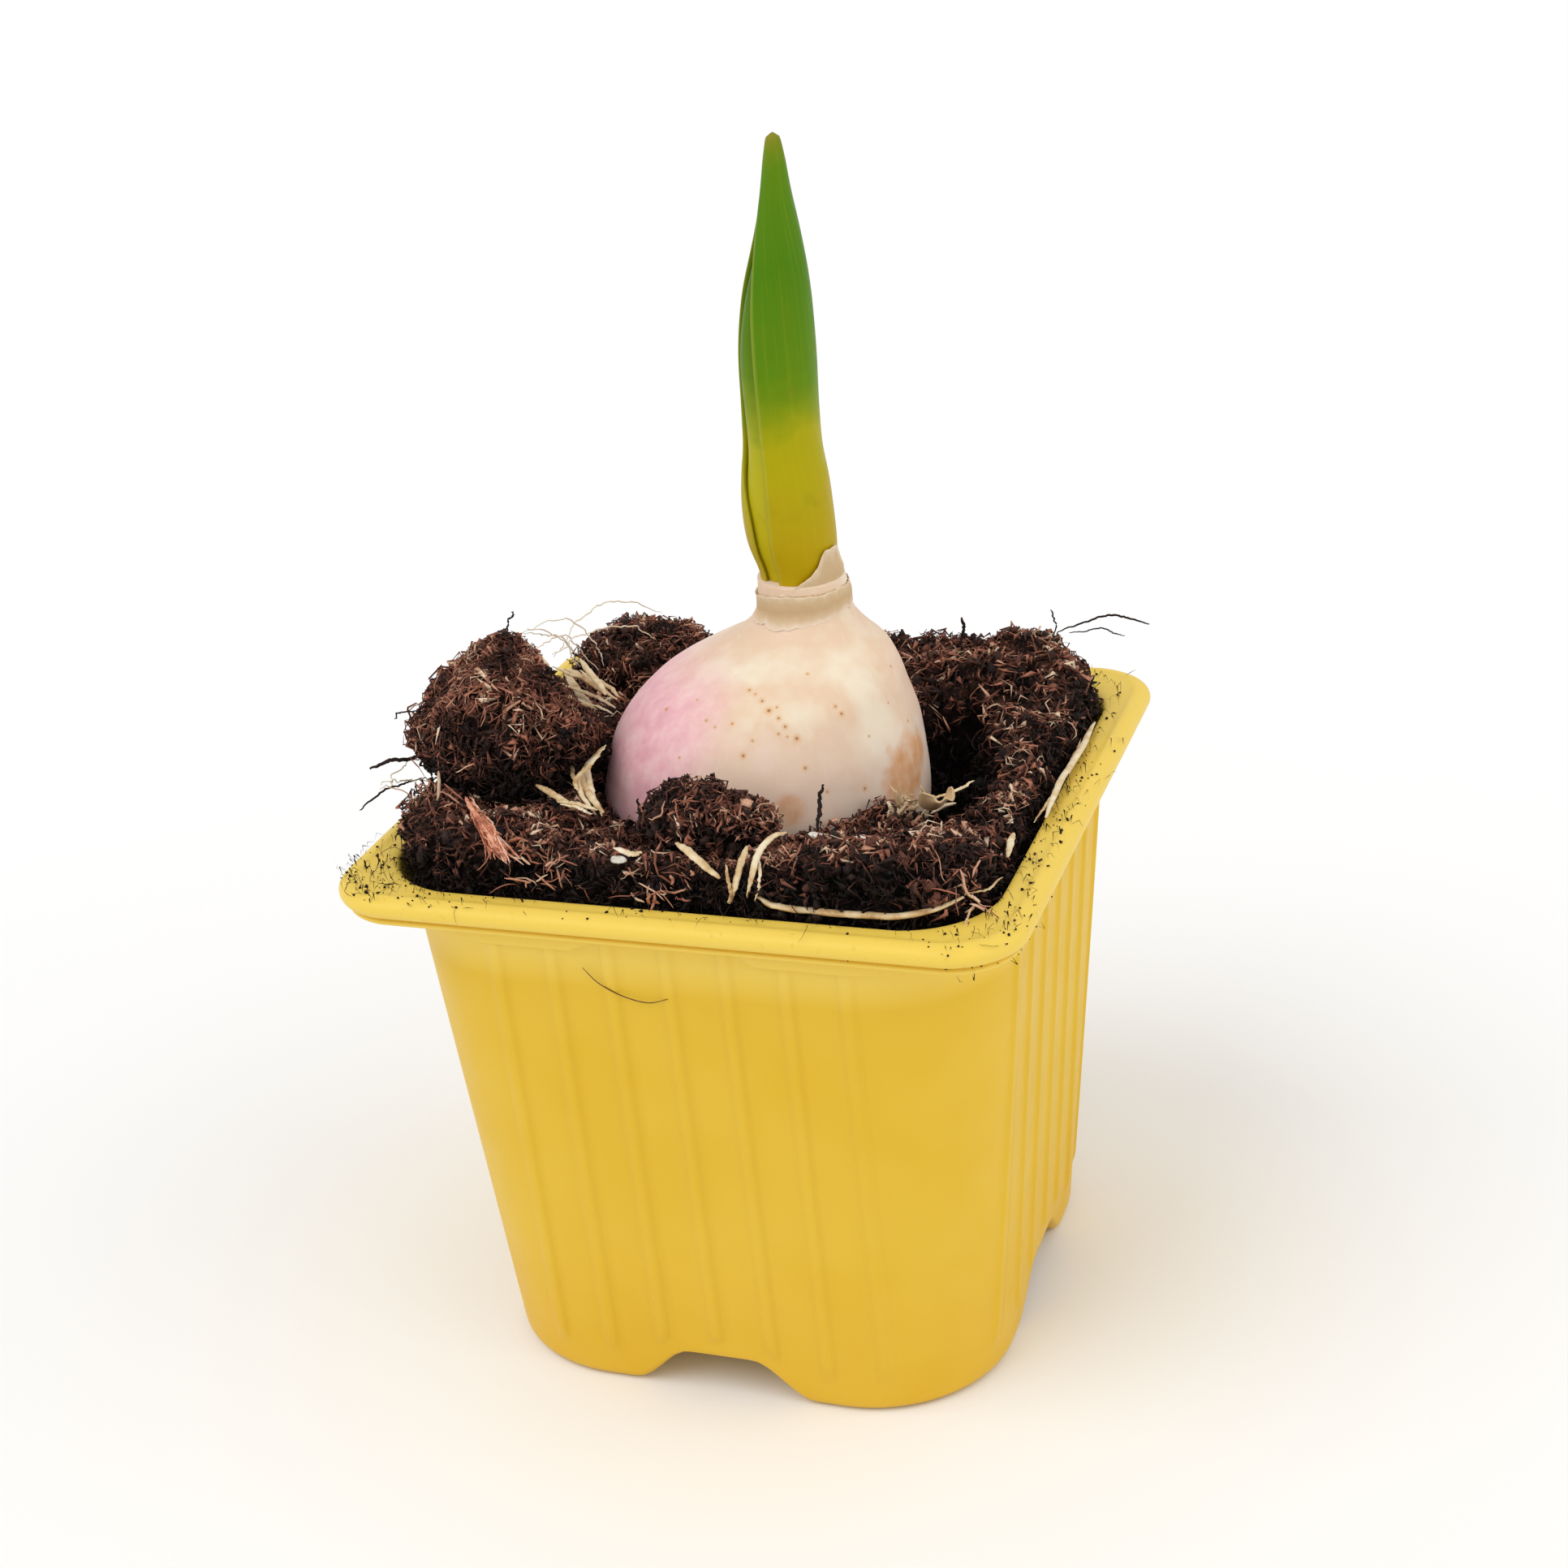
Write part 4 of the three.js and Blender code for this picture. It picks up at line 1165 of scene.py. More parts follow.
def plug_rings():
    tree = node_tree("potting_compost")

    def square(half, z, corner=None):
        ring = square_ring(half, corner or max(4, 12 - (MOUTH_HALF - half)), z)
        return evenly(ring, PLUG_AROUND)

    inside = [
        square(wall_half(z) - WALL_THICKNESS - PLUG_GAP, z, WALL_CORNER - 2)
        for z in np.linspace(PLUG_FLOOR, WALL_TOP - 3, 7)
    ]
    floor = [inside[0] * [share, share, 1] for share in (0.3, 0.6, 0.9)]
    crown = square(PLUG_EDGE_HALF - 1.6, 0)
    crown[:, 2] = plug_heights(tree, crown)
    face = []
    for share in np.linspace(0, 1, 18):
        ring = square(mix(PLUG_EDGE_HALF + 0.9, PLUG_EDGE_HALF, share), 0)
        ring[:, 2] = mix(RIM - 2.5, crown[:, 2] - 1.5, share)
        face.append(ring)
    shoulder = []
    for angle in np.linspace(0.3, 1.4, 4):
        ring = square(PLUG_EDGE_HALF - 1.5 * (1 - math.cos(angle)), 0)
        ring[:, 2] = crown[:, 2] - 1.5 * (1 - math.sin(angle))
        shoulder.append(ring)
    bearing = np.arctan2(crown[:, 1], crown[:, 0])
    contact = (BULB_ROWS[:, 3].max() + PLUG_GAP) * np.stack([np.cos(bearing), np.sin(bearing)], 1)
    top = []
    for share in np.linspace(0, 1, 52):
        ring = crown.copy()
        ring[:, :2] = mix(crown[:, :2], contact, share)
        ring[:, 2] = plug_heights(tree, ring)
        top.append(ring)
    cup = []
    for share in np.linspace(0.08, 1, 8):
        z = mix(top[-1][:, 2], BULB_ROWS[0, 0] - PLUG_GAP, share)
        rows = bulb_at(z)
        reach = rows[:, 2] + PLUG_GAP
        cup.append(np.column_stack([
            rows[:, 0] + reach * np.cos(bearing), rows[:, 1] + reach * np.sin(bearing), z
        ]))
    return np.array([*floor, *inside, *face, *shoulder, *top, *cup]), len(floor) + len(inside)


def daylight(points, normals):
    """Painted shade for the compost: 0 deep in a hollow or on a steep side, and 1 on top."""
    deep = smooth(RIM - 3, RIM + 4, points[:, 2])
    return deep * mix(0.2, 1, smooth(0.3, 0.85, normals[:, 2]))


def crumbled(points, seed):
    """How far a crumbly surface stands off at each point, about 0 on average."""
    lumps = 1.1 * fractal(points, 6, 2, seed) + 0.9 * fractal(points, 2.6, 3, seed + 1)
    sharp = ridges(points, 1.6, 3, seed + 2)
    return lumps + 0.9 * (sharp - sharp.mean())


def compost_plug():
    rings, first = plug_rings()
    rough = slice(first + 4, len(rings) - 8)
    flat = rings[rough].reshape(-1, 3)
    normals = ring_normals(rings)[rough].reshape(-1, 3)
    bumps = crumbled(flat, 1)
    calm = smooth(*CALM_ZONE, np.hypot(flat[:, 0], flat[:, 1]))
    flat = flat + normals * (bumps * mix(0.3, 1, calm))[:, None]
    amount, middle, spread = SPILL
    left = smooth(-30, -PLUG_EDGE_HALF, flat[:, 0]) * smooth(RIM + 0.2, RIM + 2.5, flat[:, 2])
    flat[:, 0] -= amount * left * bell(flat[:, 1], middle, spread)
    # The field shade is painted shade: dark low down, on steep sides and in the dips between lumps. The rings
    # left smooth keep 0, so the cup round the bulb and the foot of the face are painted near black.
    shade = np.zeros(rings.shape[:2])
    shade[rough] = (daylight(flat, normals) * smooth(-1.2, 0.6, bumps)).reshape(shade[rough].shape)
    rings[rough] = flat.reshape(rings[rough].shape)
    points, faces = loft(rings, cap_low=True, cap_high=True)
    shade = np.append(shade.ravel(), [0, 0])
    add_piece("compost_plug", points, faces, compost_finish(), ["potting_compost"], "compost", shade=shade)
    return Ground(points, faces)


# Dents in the left clod: [place with its height over the rim, radius, share]
LEFT_DENTS = [[[-22.5, -4, 16], 8, 0.42], [[-37, -12, 21], 9, 0.16]]


def clod(node, name, rows, around, lumps, squash, dents, seed):
    """A clod: the CAD solid's outline, squashed, with crumbly lumps. Each dent is
    [place, radius, share] and pulls the surface towards the clod's middle."""
    low, high = node_box(node)
    middle = (low + high) / 2
    tree = node_tree(node)
    rings = []
    for tilt in np.linspace(-1.5, 1.5, rows):
        ring = []
        for angle in np.arange(around) * math.tau / around:
            way = Vector((math.cos(tilt) * math.cos(angle), math.cos(tilt) * math.sin(angle), math.sin(tilt)))
            ring.append(tree.ray_cast(Vector(middle), way)[0])
        rings.append(ring)
    rings = np.array(rings)
    rings[..., 2] = mix(low[2], rings[..., 2], squash)
    for place, radius, share in dents:
        apart = np.linalg.norm(rings - (np.array(place) + UP * RIM), axis=-1, keepdims=True)
        rings = mix(rings, middle, share * bell(apart, 0, radius))
    flat = rings.reshape(-1, 3)
    normals = ring_normals(rings).reshape(-1, 3)
    bumps = lumps * crumbled(flat, seed)
    flat = flat + normals * bumps[:, None]
    points, faces = loft(flat.reshape(rings.shape), cap_low=True, cap_high=True)
    # The field shade is painted shade: light where the clod faces up, dark underneath and in the dips between
    # lumps.
    up = smooth(-0.2, 0.7, normals[:, 2] + 0.35 * fractal(flat, 5, 2, seed + 3))
    shade = np.append(up * smooth(-1.2, 0.6, bumps), [0, 0.8])
    add_piece(name, points, faces, bpy.data.materials["compost_finish"], [node], "compost", shade=shade)
    return Ground(points, faces)


def litter(name, ground, rng, weight, tone, flakes=(), fibres=(), crumbs=(), shaded_below=RIM):
    """Flakes, fibres and crumbs over a surface. flakes and fibres are (count, length, radius) and
    crumbs are (count, size); tone is the (darkest, lightest) tint, which painted shade takes
    towards black below a height and at the front, past the plug's edge."""
    parts = []

    def add(points, faces, count, low, high):
        tints = mix(low, high, rng.random(count) ** 1.3) + 0.25 * (rng.random(count) > 0.9)
        middles = points.reshape(count, -1, 3).mean(1)
        tints *= mix(0.45, 1.2, smooth(-0.5, 0.35, fractal(middles, 4.5, 2, 51)))
        # Painted shade: darker below a height and at the front, past the plug's edge.
        lit = mix(0.1, 1, smooth(shaded_below - 3, shaded_below + 3, points[:, 2]))
        lit *= mix(1, 0.4, smooth(PLUG_EDGE_HALF - 0.8, PLUG_EDGE_HALF + 0.6, -points[:, 1]))
        parts.append((points, faces, np.repeat(tints, len(points) // count) * lit))

    if flakes:
        count, length, radius = flakes
        add(*ground.fibres(rng, count, weight, length, radius, 0.3, 1.1, 3, 0.35), count, *tone)
    if fibres:
        count, length, radius = fibres
        add(*ground.fibres(rng, count, weight, length, radius, 0.4, 1.1, 6), count, *tone)
    if crumbs:
        count, size = crumbs
        add(*ground.crumbs(rng, count, weight, size), count, tone[0], mix(tone[0], tone[1], 0.6))
    points, faces, tint = joined(parts)
    add_piece(name, points, faces, bpy.data.materials["fibre_finish"], (), "compost", tint=tint)


def compost():
    rng = np.random.default_rng(11)
    fibre_finish()
    plug = compost_plug()

    def on_top(places, normals):
        clear = np.hypot(places[:, 0], places[:, 1]) > BULB_ROWS[:, 3].max() + 0.4
        clumped = 0.2 + smooth(-0.45, 0.3, fractal(places, 3.5, 2, 52))
        return clear * clumped * (places[:, 2] > RIM - 10) * (0.02 + smooth(0.3, 0.75, normals[:, 2]))

    def on_face(places, normals):
        low = (places[:, 2] > RIM - 1.5) * (places[:, 2] < RIM + 7)
        outside = np.maximum(np.abs(places[:, 0]), np.abs(places[:, 1])) > PLUG_EDGE_HALF - 2
        return low * outside * smooth(0.8, 0.3, normals[:, 2])

    litter("compost_flakes", plug, rng, on_top, (0.2, 0.98), flakes=(8200, (0.9, 3.8), (0.16, 0.52)))
    litter("compost_fibres", plug, rng, on_top, (0.35, 0.95), fibres=(1100, (1.6, 5.5), (0.07, 0.18)))
    litter("compost_grit", plug, rng, on_top, (0.02, 0.6), crumbs=(1500, (0.25, 1.1)))
    # The face litter's dark tone is painted shade on the plug's front face.
    litter("compost_face_litter", plug, rng, on_face, (0, 0.3),
           flakes=(2200, (0.8, 2.8), (0.14, 0.4)), fibres=(240, (1, 4), (0.07, 0.15)),
           crumbs=(400, (0.3, 0.9)), shaded_below=RIM - 1)

    left = clod("soil_clod_left", "clod_left", 84, 140, 1.1, 0.93, LEFT_DENTS, 21)
    back = clod("soil_clod_back", "clod_back", 54, 96, 0.9, 0.76, (), 31)
    front = clod("soil_clod_front", "clod_front", 46, 90, 0.8, 1, (), 41)

    def crown(places, normals):
        return smooth(-0.5, 0.4, normals[:, 2]) + 0.05

    def underside(places, normals):
        return smooth(0.4, -0.2, normals[:, 2]) + 0.03

    litter("clod_left_flakes", left, rng, crown, (0.28, 0.88), flakes=(3200, (0.9, 4), (0.15, 0.48)),
           fibres=(900, (1.5, 6), (0.07, 0.18)), crumbs=(200, (0.3, 1)), shaded_below=RIM + 8)
    # The underside grit's dark tone is painted shade under the clod.
    litter("clod_left_grit", left, rng, underside, (0, 0.4), flakes=(1300, (0.8, 3), (0.13, 0.44)),
           fibres=(200, (1, 4), (0.07, 0.16)), crumbs=(420, (0.3, 1.1)), shaded_below=RIM + 6)
    litter("clod_back_litter", back, rng, crown, (0.1, 0.8), flakes=(1300, (0.8, 3), (0.14, 0.42)),
           fibres=(160, (1.5, 5), (0.08, 0.16)), crumbs=(160, (0.3, 1)))
    litter("clod_front_litter", front, rng, crown, (0.04, 0.85), flakes=(1000, (0.8, 3), (0.14, 0.44)),
           fibres=(120, (1, 4), (0.07, 0.16)), crumbs=(260, (0.3, 1.1)), shaded_below=RIM + 3)
    return plug


# ---------------------------------------------------------------- roots and scraps

# Roots: [radius, path of x, y, height over the rim]. The paths are the part's, and so are the radii
# but for the long front root, which is a little thicker.
ROOTS = {
    "root_front_long": [0.62, [
        [12, -38.7, 2.2], [13.6, -38.8, 1.1], [16.5, -38.9, 0.6], [22, -38.9, 0.5],
        [28, -38.8, 0.6], [33, -37.1, 0.9], [36.4, -33.8, 1.5],
    ]],
    "root_front_left": [0.55, [
        [10.5, -36.2, 7.2], [10.3, -37.9, 5.6], [9.4, -38.8, 2.8], [8.6, -38.9, 0.8],
    ]],
    "root_front_right": [0.5, [
        [14.6, -33.2, 8], [13.2, -35, 8], [12.4, -37.2, 7], [11.7, -38.7, 4.6],
        [11, -38.9, 1.8],
    ]],
    "root_front_flat": [0.6, [
        [1, -35.6, 6.6], [4.2, -37.6, 5.8], [7.6, -38.8, 4],
    ]],
    "root_left_inner": [0.55, [
        [-16.9, -14, 9], [-18.3, -16.2, 7.4], [-17.8, -19.8, 6.6], [-14.6, -24.4, 6.4],
        [-11.6, -28, 6.3],
    ]],
    "root_left_cross": [0.55, [
        [-23, -22.4, 6.8], [-19.2, -25.2, 6.6], [-15.6, -27.6, 6.3],
    ]],
    "root_back_1": [0.6, [
        [-28.2, 1.8, 12.9], [-24.6, 0.4, 12], [-20.7, -1.6, 11],
    ]],
    "root_back_2": [0.6, [
        [-30.6, 6.4, 10.6], [-26.6, 1.6, 9.8], [-22.9, -2.6, 9],
    ]],
    "root_back_3": [0.5, [
        [-26.2, 2.2, 14.4], [-23, -1.2, 13.4], [-19.8, -5, 12.4],
    ]],
    "root_rim_right": [0.5, [
        [40.3, 21.5, 1], [40.6, 12, 0.95], [40.2, 2, 0.95], [40.7, -9.5, 1],
    ]],
    "root_short_right": [0.45, [
        [38.9, -18.6, 3], [39, -20.8, 2.8], [39, -22.6, 1.6],
    ]],
}


# Fine roots that the part has no nodes for: [radius, path]
FINE_ROOTS = [
    [0.42, [[-30, 1.1, 13.5], [-24.2, -0.7, 12.3], [-18.8, -3.6, 11.2]]],
    [0.36, [[-28.8, -0.5, 12], [-23.7, -1.5, 10.8], [-19.2, -3.5, 9.9]]],
    [0.34, [[-31.8, 2.1, 14.5], [-28.1, -1.9, 12.6], [-25.6, -4.6, 10]]],
    [0.38, [[-26.6, 2.6, 12.5], [-22.5, 0.4, 11.6], [-19, -2.4, 11.1]]],
    [0.3, [[-27.5, -1.3, 10.5], [-23, -2.5, 9.8], [-19.6, -3.7, 9.1]]],
    [0.26, [[-29.2, -1.3, 13], [-24.5, -3.9, 11], [-21.8, -3.7, 9.6]]],
    [0.42, [[-16.1, -14.8, 9.5], [-17.7, -17.7, 7.5], [-15.4, -22.5, 6.2], [-12.2, -27.1, 5.4]]],
    [0.36, [[-16.2, -16.8, 9], [-17.6, -19.9, 7.4], [-15.9, -23.8, 6.4], [-12.9, -27.3, 5.6]]],
    [0.34, [[-16.7, -17.6, 8.6], [-17.8, -21.5, 7.6], [-16.7, -23.7, 7]]],
    [0.4, [[-18.2, -27, 7], [-15.5, -26.9, 6.8], [-12.5, -27.4, 6.4]]],
    [0.3, [[-17.7, -27.6, 6.8], [-14.7, -28.2, 6.6], [-12.9, -28.3, 6.2]]],
    [0.3, [[-20.4, -12.4, 9.4], [-20.8, -15.2, 7.2], [-19.4, -18.8, 6.4], [-15.4, -23.6, 6.4]]],
    [0.5, [[-6.4, -37.5, 6.3], [-4.4, -37.9, 6.2], [-2.6, -37.8, 6.1]]],
    [0.24, [[8.2, -37.8, 5.4], [8.9, -39.2, 3.2], [9.2, -39.4, 1.2]]],
    [0.22, [[11.8, -36.8, 6.8], [12.6, -38.6, 4.4], [12.1, -39.3, 1.6]]],
    [0.2, [[36.4, -33.4, 1.6], [38.2, -30.6, 1.2], [39.4, -26.8, 1]]],
    [0.26, [[39.6, 16, 0.9], [39.9, 8, 0.8], [39.8, -3, 0.9], [39.9, -12.4, 1.6]]],
    [0.3, [[26.4, -13.2, 3.8], [29.4, -11.6, 4.4], [31.6, -9.4, 5.4]]],
]
# White hairs of the finest roots, in the air behind the left clod
ROOT_HAIRS = [
    [[-32.6, -2.4, 19.4], [-28.4, 2.4, 19.8], [-25.8, 5.4, 15.4], [-24.6, 6.2, 11.8]],
    [[-31.8, -1.8, 19.8], [-29.8, 1.4, 18.4], [-28.2, 3.8, 15.2], [-27.4, 4.6, 12.2]],
    [[-33.4, 0.4, 18.6], [-31.2, 3.4, 17.6], [-29.6, 5.8, 14.4], [-29, 6.8, 11.2]],
    [[-30.2, 2.2, 14.8], [-27.4, 6.8, 16.4], [-23.8, 12.4, 15.2], [-21.4, 17.8, 11.4]],
    [[-31.2, 4.2, 13.8], [-29.2, 9.8, 16.2], [-26.8, 17.4, 16.4], [-23.2, 25.4, 12.6]],
    [[-33, 2.6, 15.4], [-31.6, 6.2, 15.8], [-30, 9.8, 13.4], [-28.2, 12.4, 8.4]],
    [[-42.4, -15.2, 6.4], [-44.6, -19.4, 6.6], [-45.2, -23.6, 5.2]],
    [[-40.4, -17.4, 4.4], [-42.6, -21.2, 5.6], [-44.2, -24.8, 6.4]],
]
ROOT_HAIR_RADIUS = 0.1


def root_tube(radius, path, rng, taper=0.65, flatness=0.6, crook=0.2, steps=36):
    """A root along a path whose heights are over the rim, a little crooked, thinner at its ends."""
    line = curve_through(path, steps)
    line[:, 2] += RIM
    drift = rng.normal(size=(steps, 3)).cumsum(axis=0) / math.sqrt(steps)
    line += crook * (drift - np.linspace(0, 1, steps)[:, None] * drift[-1])
    share = np.linspace(-1, 1, steps)
    radii = radius * (1 - taper * np.abs(share) ** 3) * (1 + 0.04 * rng.normal(size=steps))
    return tubes(line[None], radii[None], 8, flatness)


def roots():
    rng = np.random.default_rng(23)
    finish = root_finish()
    for node, (radius, path) in ROOTS.items():
        points, faces = root_tube(radius, path, rng)
        tint = np.full(len(points), rng.uniform(-0.06, 0.14))
        add_piece(node.replace("root_", "rootlet_"), points, faces, finish, [node], "root", tint=tint)
    parts = []
    for radius, path in FINE_ROOTS:
        parts.append((*root_tube(radius, path, rng, 0.8, 0.5, 0.3), rng.uniform(-0.14, 0.14)))
    for path in ROOT_HAIRS:
        parts.append((*root_tube(ROOT_HAIR_RADIUS, path, rng, 0.6, 1, 0.8), 0.3))
    points, faces, tint = joined(parts)
    add_piece("fine_rootlets", points, faces, finish, (), "root", tint=tint)


def turned(points, place, angles):
    """Points turned about X, Y and Z by angles in radians, as three.js turns them, then moved."""
    turn = Matrix.Rotation(angles[0], 3, "X") @ Matrix.Rotation(angles[1], 3, "Y")
    turn = turn @ Matrix.Rotation(angles[2], 3, "Z")
    return points @ np.array(turn).T + np.array(place)


HUSK_LENGTH = 6
HUSK_CURL = 1.7  # the radius that it curls to
HUSK_THICKNESS = 0.3
HUSK_PLACE = (27.2, -14.4, RIM + 5.4)
HUSK_TURN = (0.9, 0.5, -1.2)


def husk():
    """A curled scale of dry skin beside the bulb."""
    length, curl, thickness = HUSK_LENGTH, HUSK_CURL, HUSK_THICKNESS
    along = np.linspace(0, 1, 36)[:, None]
    width = 0.5 + np.sin(math.pi * (0.15 + 0.75 * along))
    across = np.linspace(-1.1, 1.1, 40)
    angles = across * width
    ruffle = 0.25 * np.sin(6 * across + 5 * along) * along

    def skin_at(r):
        z = along * length + 0.4 * np.cos(3 * across) * along
        return np.stack([r * np.cos(angles), r * np.sin(angles), z], -1)

    outer, inner = skin_at(curl + ruffle + thickness), skin_at(curl + ruffle)
    points, faces = closed_sheet(outer, inner)
    points = turned(points, HUSK_PLACE, HUSK_TURN)
    tint = np.full(len(points), 0.55)
    finish = bpy.data.materials["papery_scale_finish"]
    add_piece("curled_husk", points, faces, finish, ["dry_husk"], "papery_scale", tint=tint)


def node_ends(name):
    """The two ends of a long CAD node."""
    points, _ = node_mesh(name)
    middle = points.mean(0)
    way = np.linalg.svd(points - middle)[2][0]
    reach = (points - middle) @ way
    return middle + way * reach.min(), middle + way * reach.max()


def bark():
    """A splinter of bark: bundled fibres, wide in the middle, frayed at the lower end."""
    rng = np.random.default_rng(31)
    count, steps = 40, 16
    ends = sorted(node_ends("bark_splinter"), key=lambda end: -end[2])
    along = unit(ends[1] - ends[0])
    across = unit(np.cross(along, UP))
    over = np.cross(across, along)
    share = np.linspace(0, 1, steps)
    width = 1.05 * np.sin(math.pi * np.clip(share, 0.02, 0.98)) ** 0.5
    offset = rng.normal(size=(count, 2)).clip(-1.6, 1.6) * [0.55, 0.24]
    frayed = (rng.random((count, 1)) > 0.75) * rng.normal(size=(count, 2)) * [1.3, 0.8]
    spread = offset[:, None] * width[:, None] + frayed[:, None] * (share**3)[:, None]
    bend = rng.normal(scale=0.08, size=(count, steps, 3)).cumsum(axis=1)
    start, end = rng.uniform(-0.04, 0.3, (count, 1)), rng.uniform(0.65, 1.06, (count, 1))
    reach = mix(start, end, share)[..., None]
    paths = ends[0] + reach * (ends[1] - ends[0]) + bend
    paths += spread[..., :1] * across + spread[..., 1:] * over
    radii = rng.uniform(0.1, 0.34, (count, 1)) * (1 - 0.8 * (2 * share - 1) ** 4)
    points, faces = tubes(paths, radii, 5, 0.6, rng)
    tint = np.repeat(rng.uniform(-0.14, 0.16, count), len(points) // count)
    add_piece("bark_sliver", points, faces, bark_finish(), ["bark_splinter"], "bark", tint=tint)


GRAIN_STAND = 1.4  # the highest that a grain's middle sits over the compost, on the flakes


def perlite(plug):
    """White grains, each let down onto the loose compost."""
    rng = np.random.default_rng(37)
    finish = perlite_finish()
    for node in ("perlite_1", "perlite_2", "perlite_3"):
        low, high = node_box(node)
        middle = (low + high) / 2
        over = Vector((middle[0], middle[1], 2 * RIM))
        ground = plug.tree.ray_cast(over, Vector((0, 0, -1)))[0].z
        middle[2] = min(middle[2], ground + GRAIN_STAND)
        points, faces = blobs(middle[None], (high - low)[None] / 2, random_turns(rng, 1), rng, 4, 0)
        dents = 1 + 0.3 * fractal(points, 0.9, 3, 7)
        points = middle + (points - middle) * dents[:, None] * [1.25, 0.9, 0.6]
        add_piece(node.replace("_", "_grain_"), points, faces, finish, [node], "perlite")


# Dark woody bits that stand in the compost or hang over the pot: [radius, path]
STICKS = [
    [0.28, [[15.9, -22.4, 9.6], [15.6, -23.5, 7.2], [15.7, -25, 4.6]]],
    [0.22, [[-7.1, -27.1, 8.2], [-6.6, -28.4, 6.4], [-6.2, -29.9, 5]]],
    [0.3, [[-40.3, -18, 8], [-43.3, -21.1, 8.2], [-46.2, -23.6, 8]]],
    [0.16, [[-42.2, -17.2, 4], [-44.9, -21.6, 4.2], [-46.4, -27.4, 3.8]]],
    [0.12, [[-40.6, -14.6, 12.4], [-43.8, -16.2, 13.4], [-45.2, -17, 12.4]]],
    [0.18, [[31.8, 36.8, 8], [37.5, 39.8, 9.4], [41.1, 38.4, 9.6], [44.6, 38.5, 9]]],
    [0.12, [[31.1, 36.7, 11.2], [32.6, 34.7, 10], [31.8, 34.1, 7.6]]],
    [0.26, [[19.5, 31.4, 11.4], [19.5, 32.1, 9.4], [19.3, 31.2, 7]]],
    [0.12, [[34, 35.4, 8.4], [38.4, 36.8, 8.8], [41.6, 36.2, 8]]],
    [0.14, [[-33.4, -4.8, 20], [-33, -3.9, 22.2], [-32.4, -3.8, 23.2]]],
]
WALL_HAIR = [[-11, -9], [-9.1, -11.1], [-6, -12.7], [-2.8, -13.3], [-0.1, -12.5]]
WALL_HAIR_RADIUS = 0.07
# Tufts of pale coir: [middle with its height over the rim, spread, strands]
TUFTS = [
    [[-16, -38.6, 3.6], [2.8, 0.7, 1.8], 34],
    [[-19.4, -37.6, 5.6], [1.2, 0.8, 0.8], 14],
    [[0.4, -38.7, 2.6], [2.6, 0.6, 1.5], 26],
    [[-35.4, -27.8, 7.2], [1.6, 1.6, 1.2], 16],
    [[37, -35.6, 3], [1.4, 1.4, 1.2], 16],
    [[3, -29.4, 9.2], [3, 1.4, 0.8], 14],
]
# The frayed foot of the husk: [middle, spread, strands]
HUSK_FRAY = [[24.2, -14.6, 3.4], [1.5, 1.2, 1.1], 46]


def tuft(rng, middle, spread, strands, length, radius, curl=0.35, flatness=0.5):
    """Curly strands round a point whose height is over the rim."""
    steps = 9
    starts = np.array(middle) + [0, 0, RIM] + rng.normal(size=(strands, 3)).clip(-1.5, 1.5) * spread
    ways = unit(rng.normal(size=(strands, 1, 3)) + curl * rng.normal(size=(strands, steps, 3)).cumsum(1))
    pace = rng.uniform(*length, (strands, 1, 1)) / steps
    paths = starts[:, None] + (ways * pace).cumsum(axis=1)
    radii = rng.uniform(*radius, (strands, 1)) * (1 - 0.7 * np.linspace(-1, 1, steps) ** 4)
    return tubes(paths, radii, 4, flatness, rng)


def stray_bits():
    """Sticks, a hair, tufts of coir and the frayed foot of the husk."""
    rng = np.random.default_rng(43)
    parts = [(*root_tube(radius, path, rng, 0.5, 0.9, 0.4), 0.1) for radius, path in STICKS]
    hair = [[x, -wall_half(RIM + z) - RIB_HEIGHT - WALL_HAIR_RADIUS, z] for x, z in WALL_HAIR]
    parts.append((*root_tube(WALL_HAIR_RADIUS, hair, rng, 0.5, 1, 0), 0.35))
    for middle, spread, strands in TUFTS:
        points, faces = tuft(rng, middle, spread, strands, (1.6, 5), (0.07, 0.24))
        parts.append((points, faces, np.repeat(rng.uniform(0.5, 1, strands), len(points) // strands)))
    points, faces, tint = joined(parts)
    add_piece("stray_bits", points, faces, bpy.data.materials["fibre_finish"], (), "compost", tint=tint)
    middle, spread, strands = HUSK_FRAY
    points, faces = tuft(rng, middle, spread, strands, (1.2, 4), (0.1, 0.42), 0.2, 0.3)
    tint = np.repeat(rng.uniform(0.3, 1.1, strands), len(points) // strands)
    finish = bpy.data.materials["papery_scale_finish"]
    add_piece("frayed_husk", points, faces, finish, (), "papery_scale", tint=tint)


def rim_dirt(rim):
    """Crumbs and short hairs on the rim, thickest at the front left and along the mouth."""
    rng = np.random.default_rng(47)

    def weight(places, normals):
        x, y, z = places.T
        mouth = bell(np.maximum(np.abs(x), np.abs(y)), 40.6, 0.9)
        corner = bell(x, -39, 70**0.5) * bell(y, -39, 70**0.5)
        right = bell(x, 42, 2.5) * smooth(30, -10, y)
        front_right = bell(x, 42, 60**0.5) * bell(y, -40, 60**0.5)
        top = smooth(RIM - 1.2, RIM - 0.3, z) * smooth(0.3, 0.8, normals[:, 2])
        return (0.05 + 0.5 * mouth + 1.4 * corner + 0.5 * right + 0.5 * front_right) * top

    def below(places, normals):
        x, y, z = places.T
        return (z < RIM - 1.5) * smooth(34, 42, x) * smooth(-10, -34, y) + 0.01

    litter("rim_dirt", rim, rng, weight, (0.15, 0.7), flakes=(380, (0.3, 1.5), (0.05, 0.15)),
           fibres=(70, (1, 4), (0.03, 0.06)), crumbs=(260, (0.1, 0.3)))
    litter("wall_dirt", rim, rng, below, (0.1, 0.5), flakes=(26, (0.3, 1), (0.05, 0.12)),
           crumbs=(26, (0.1, 0.24)), shaded_below=RIM - 20)


# ---------------------------------------------------------------- stage, light and camera

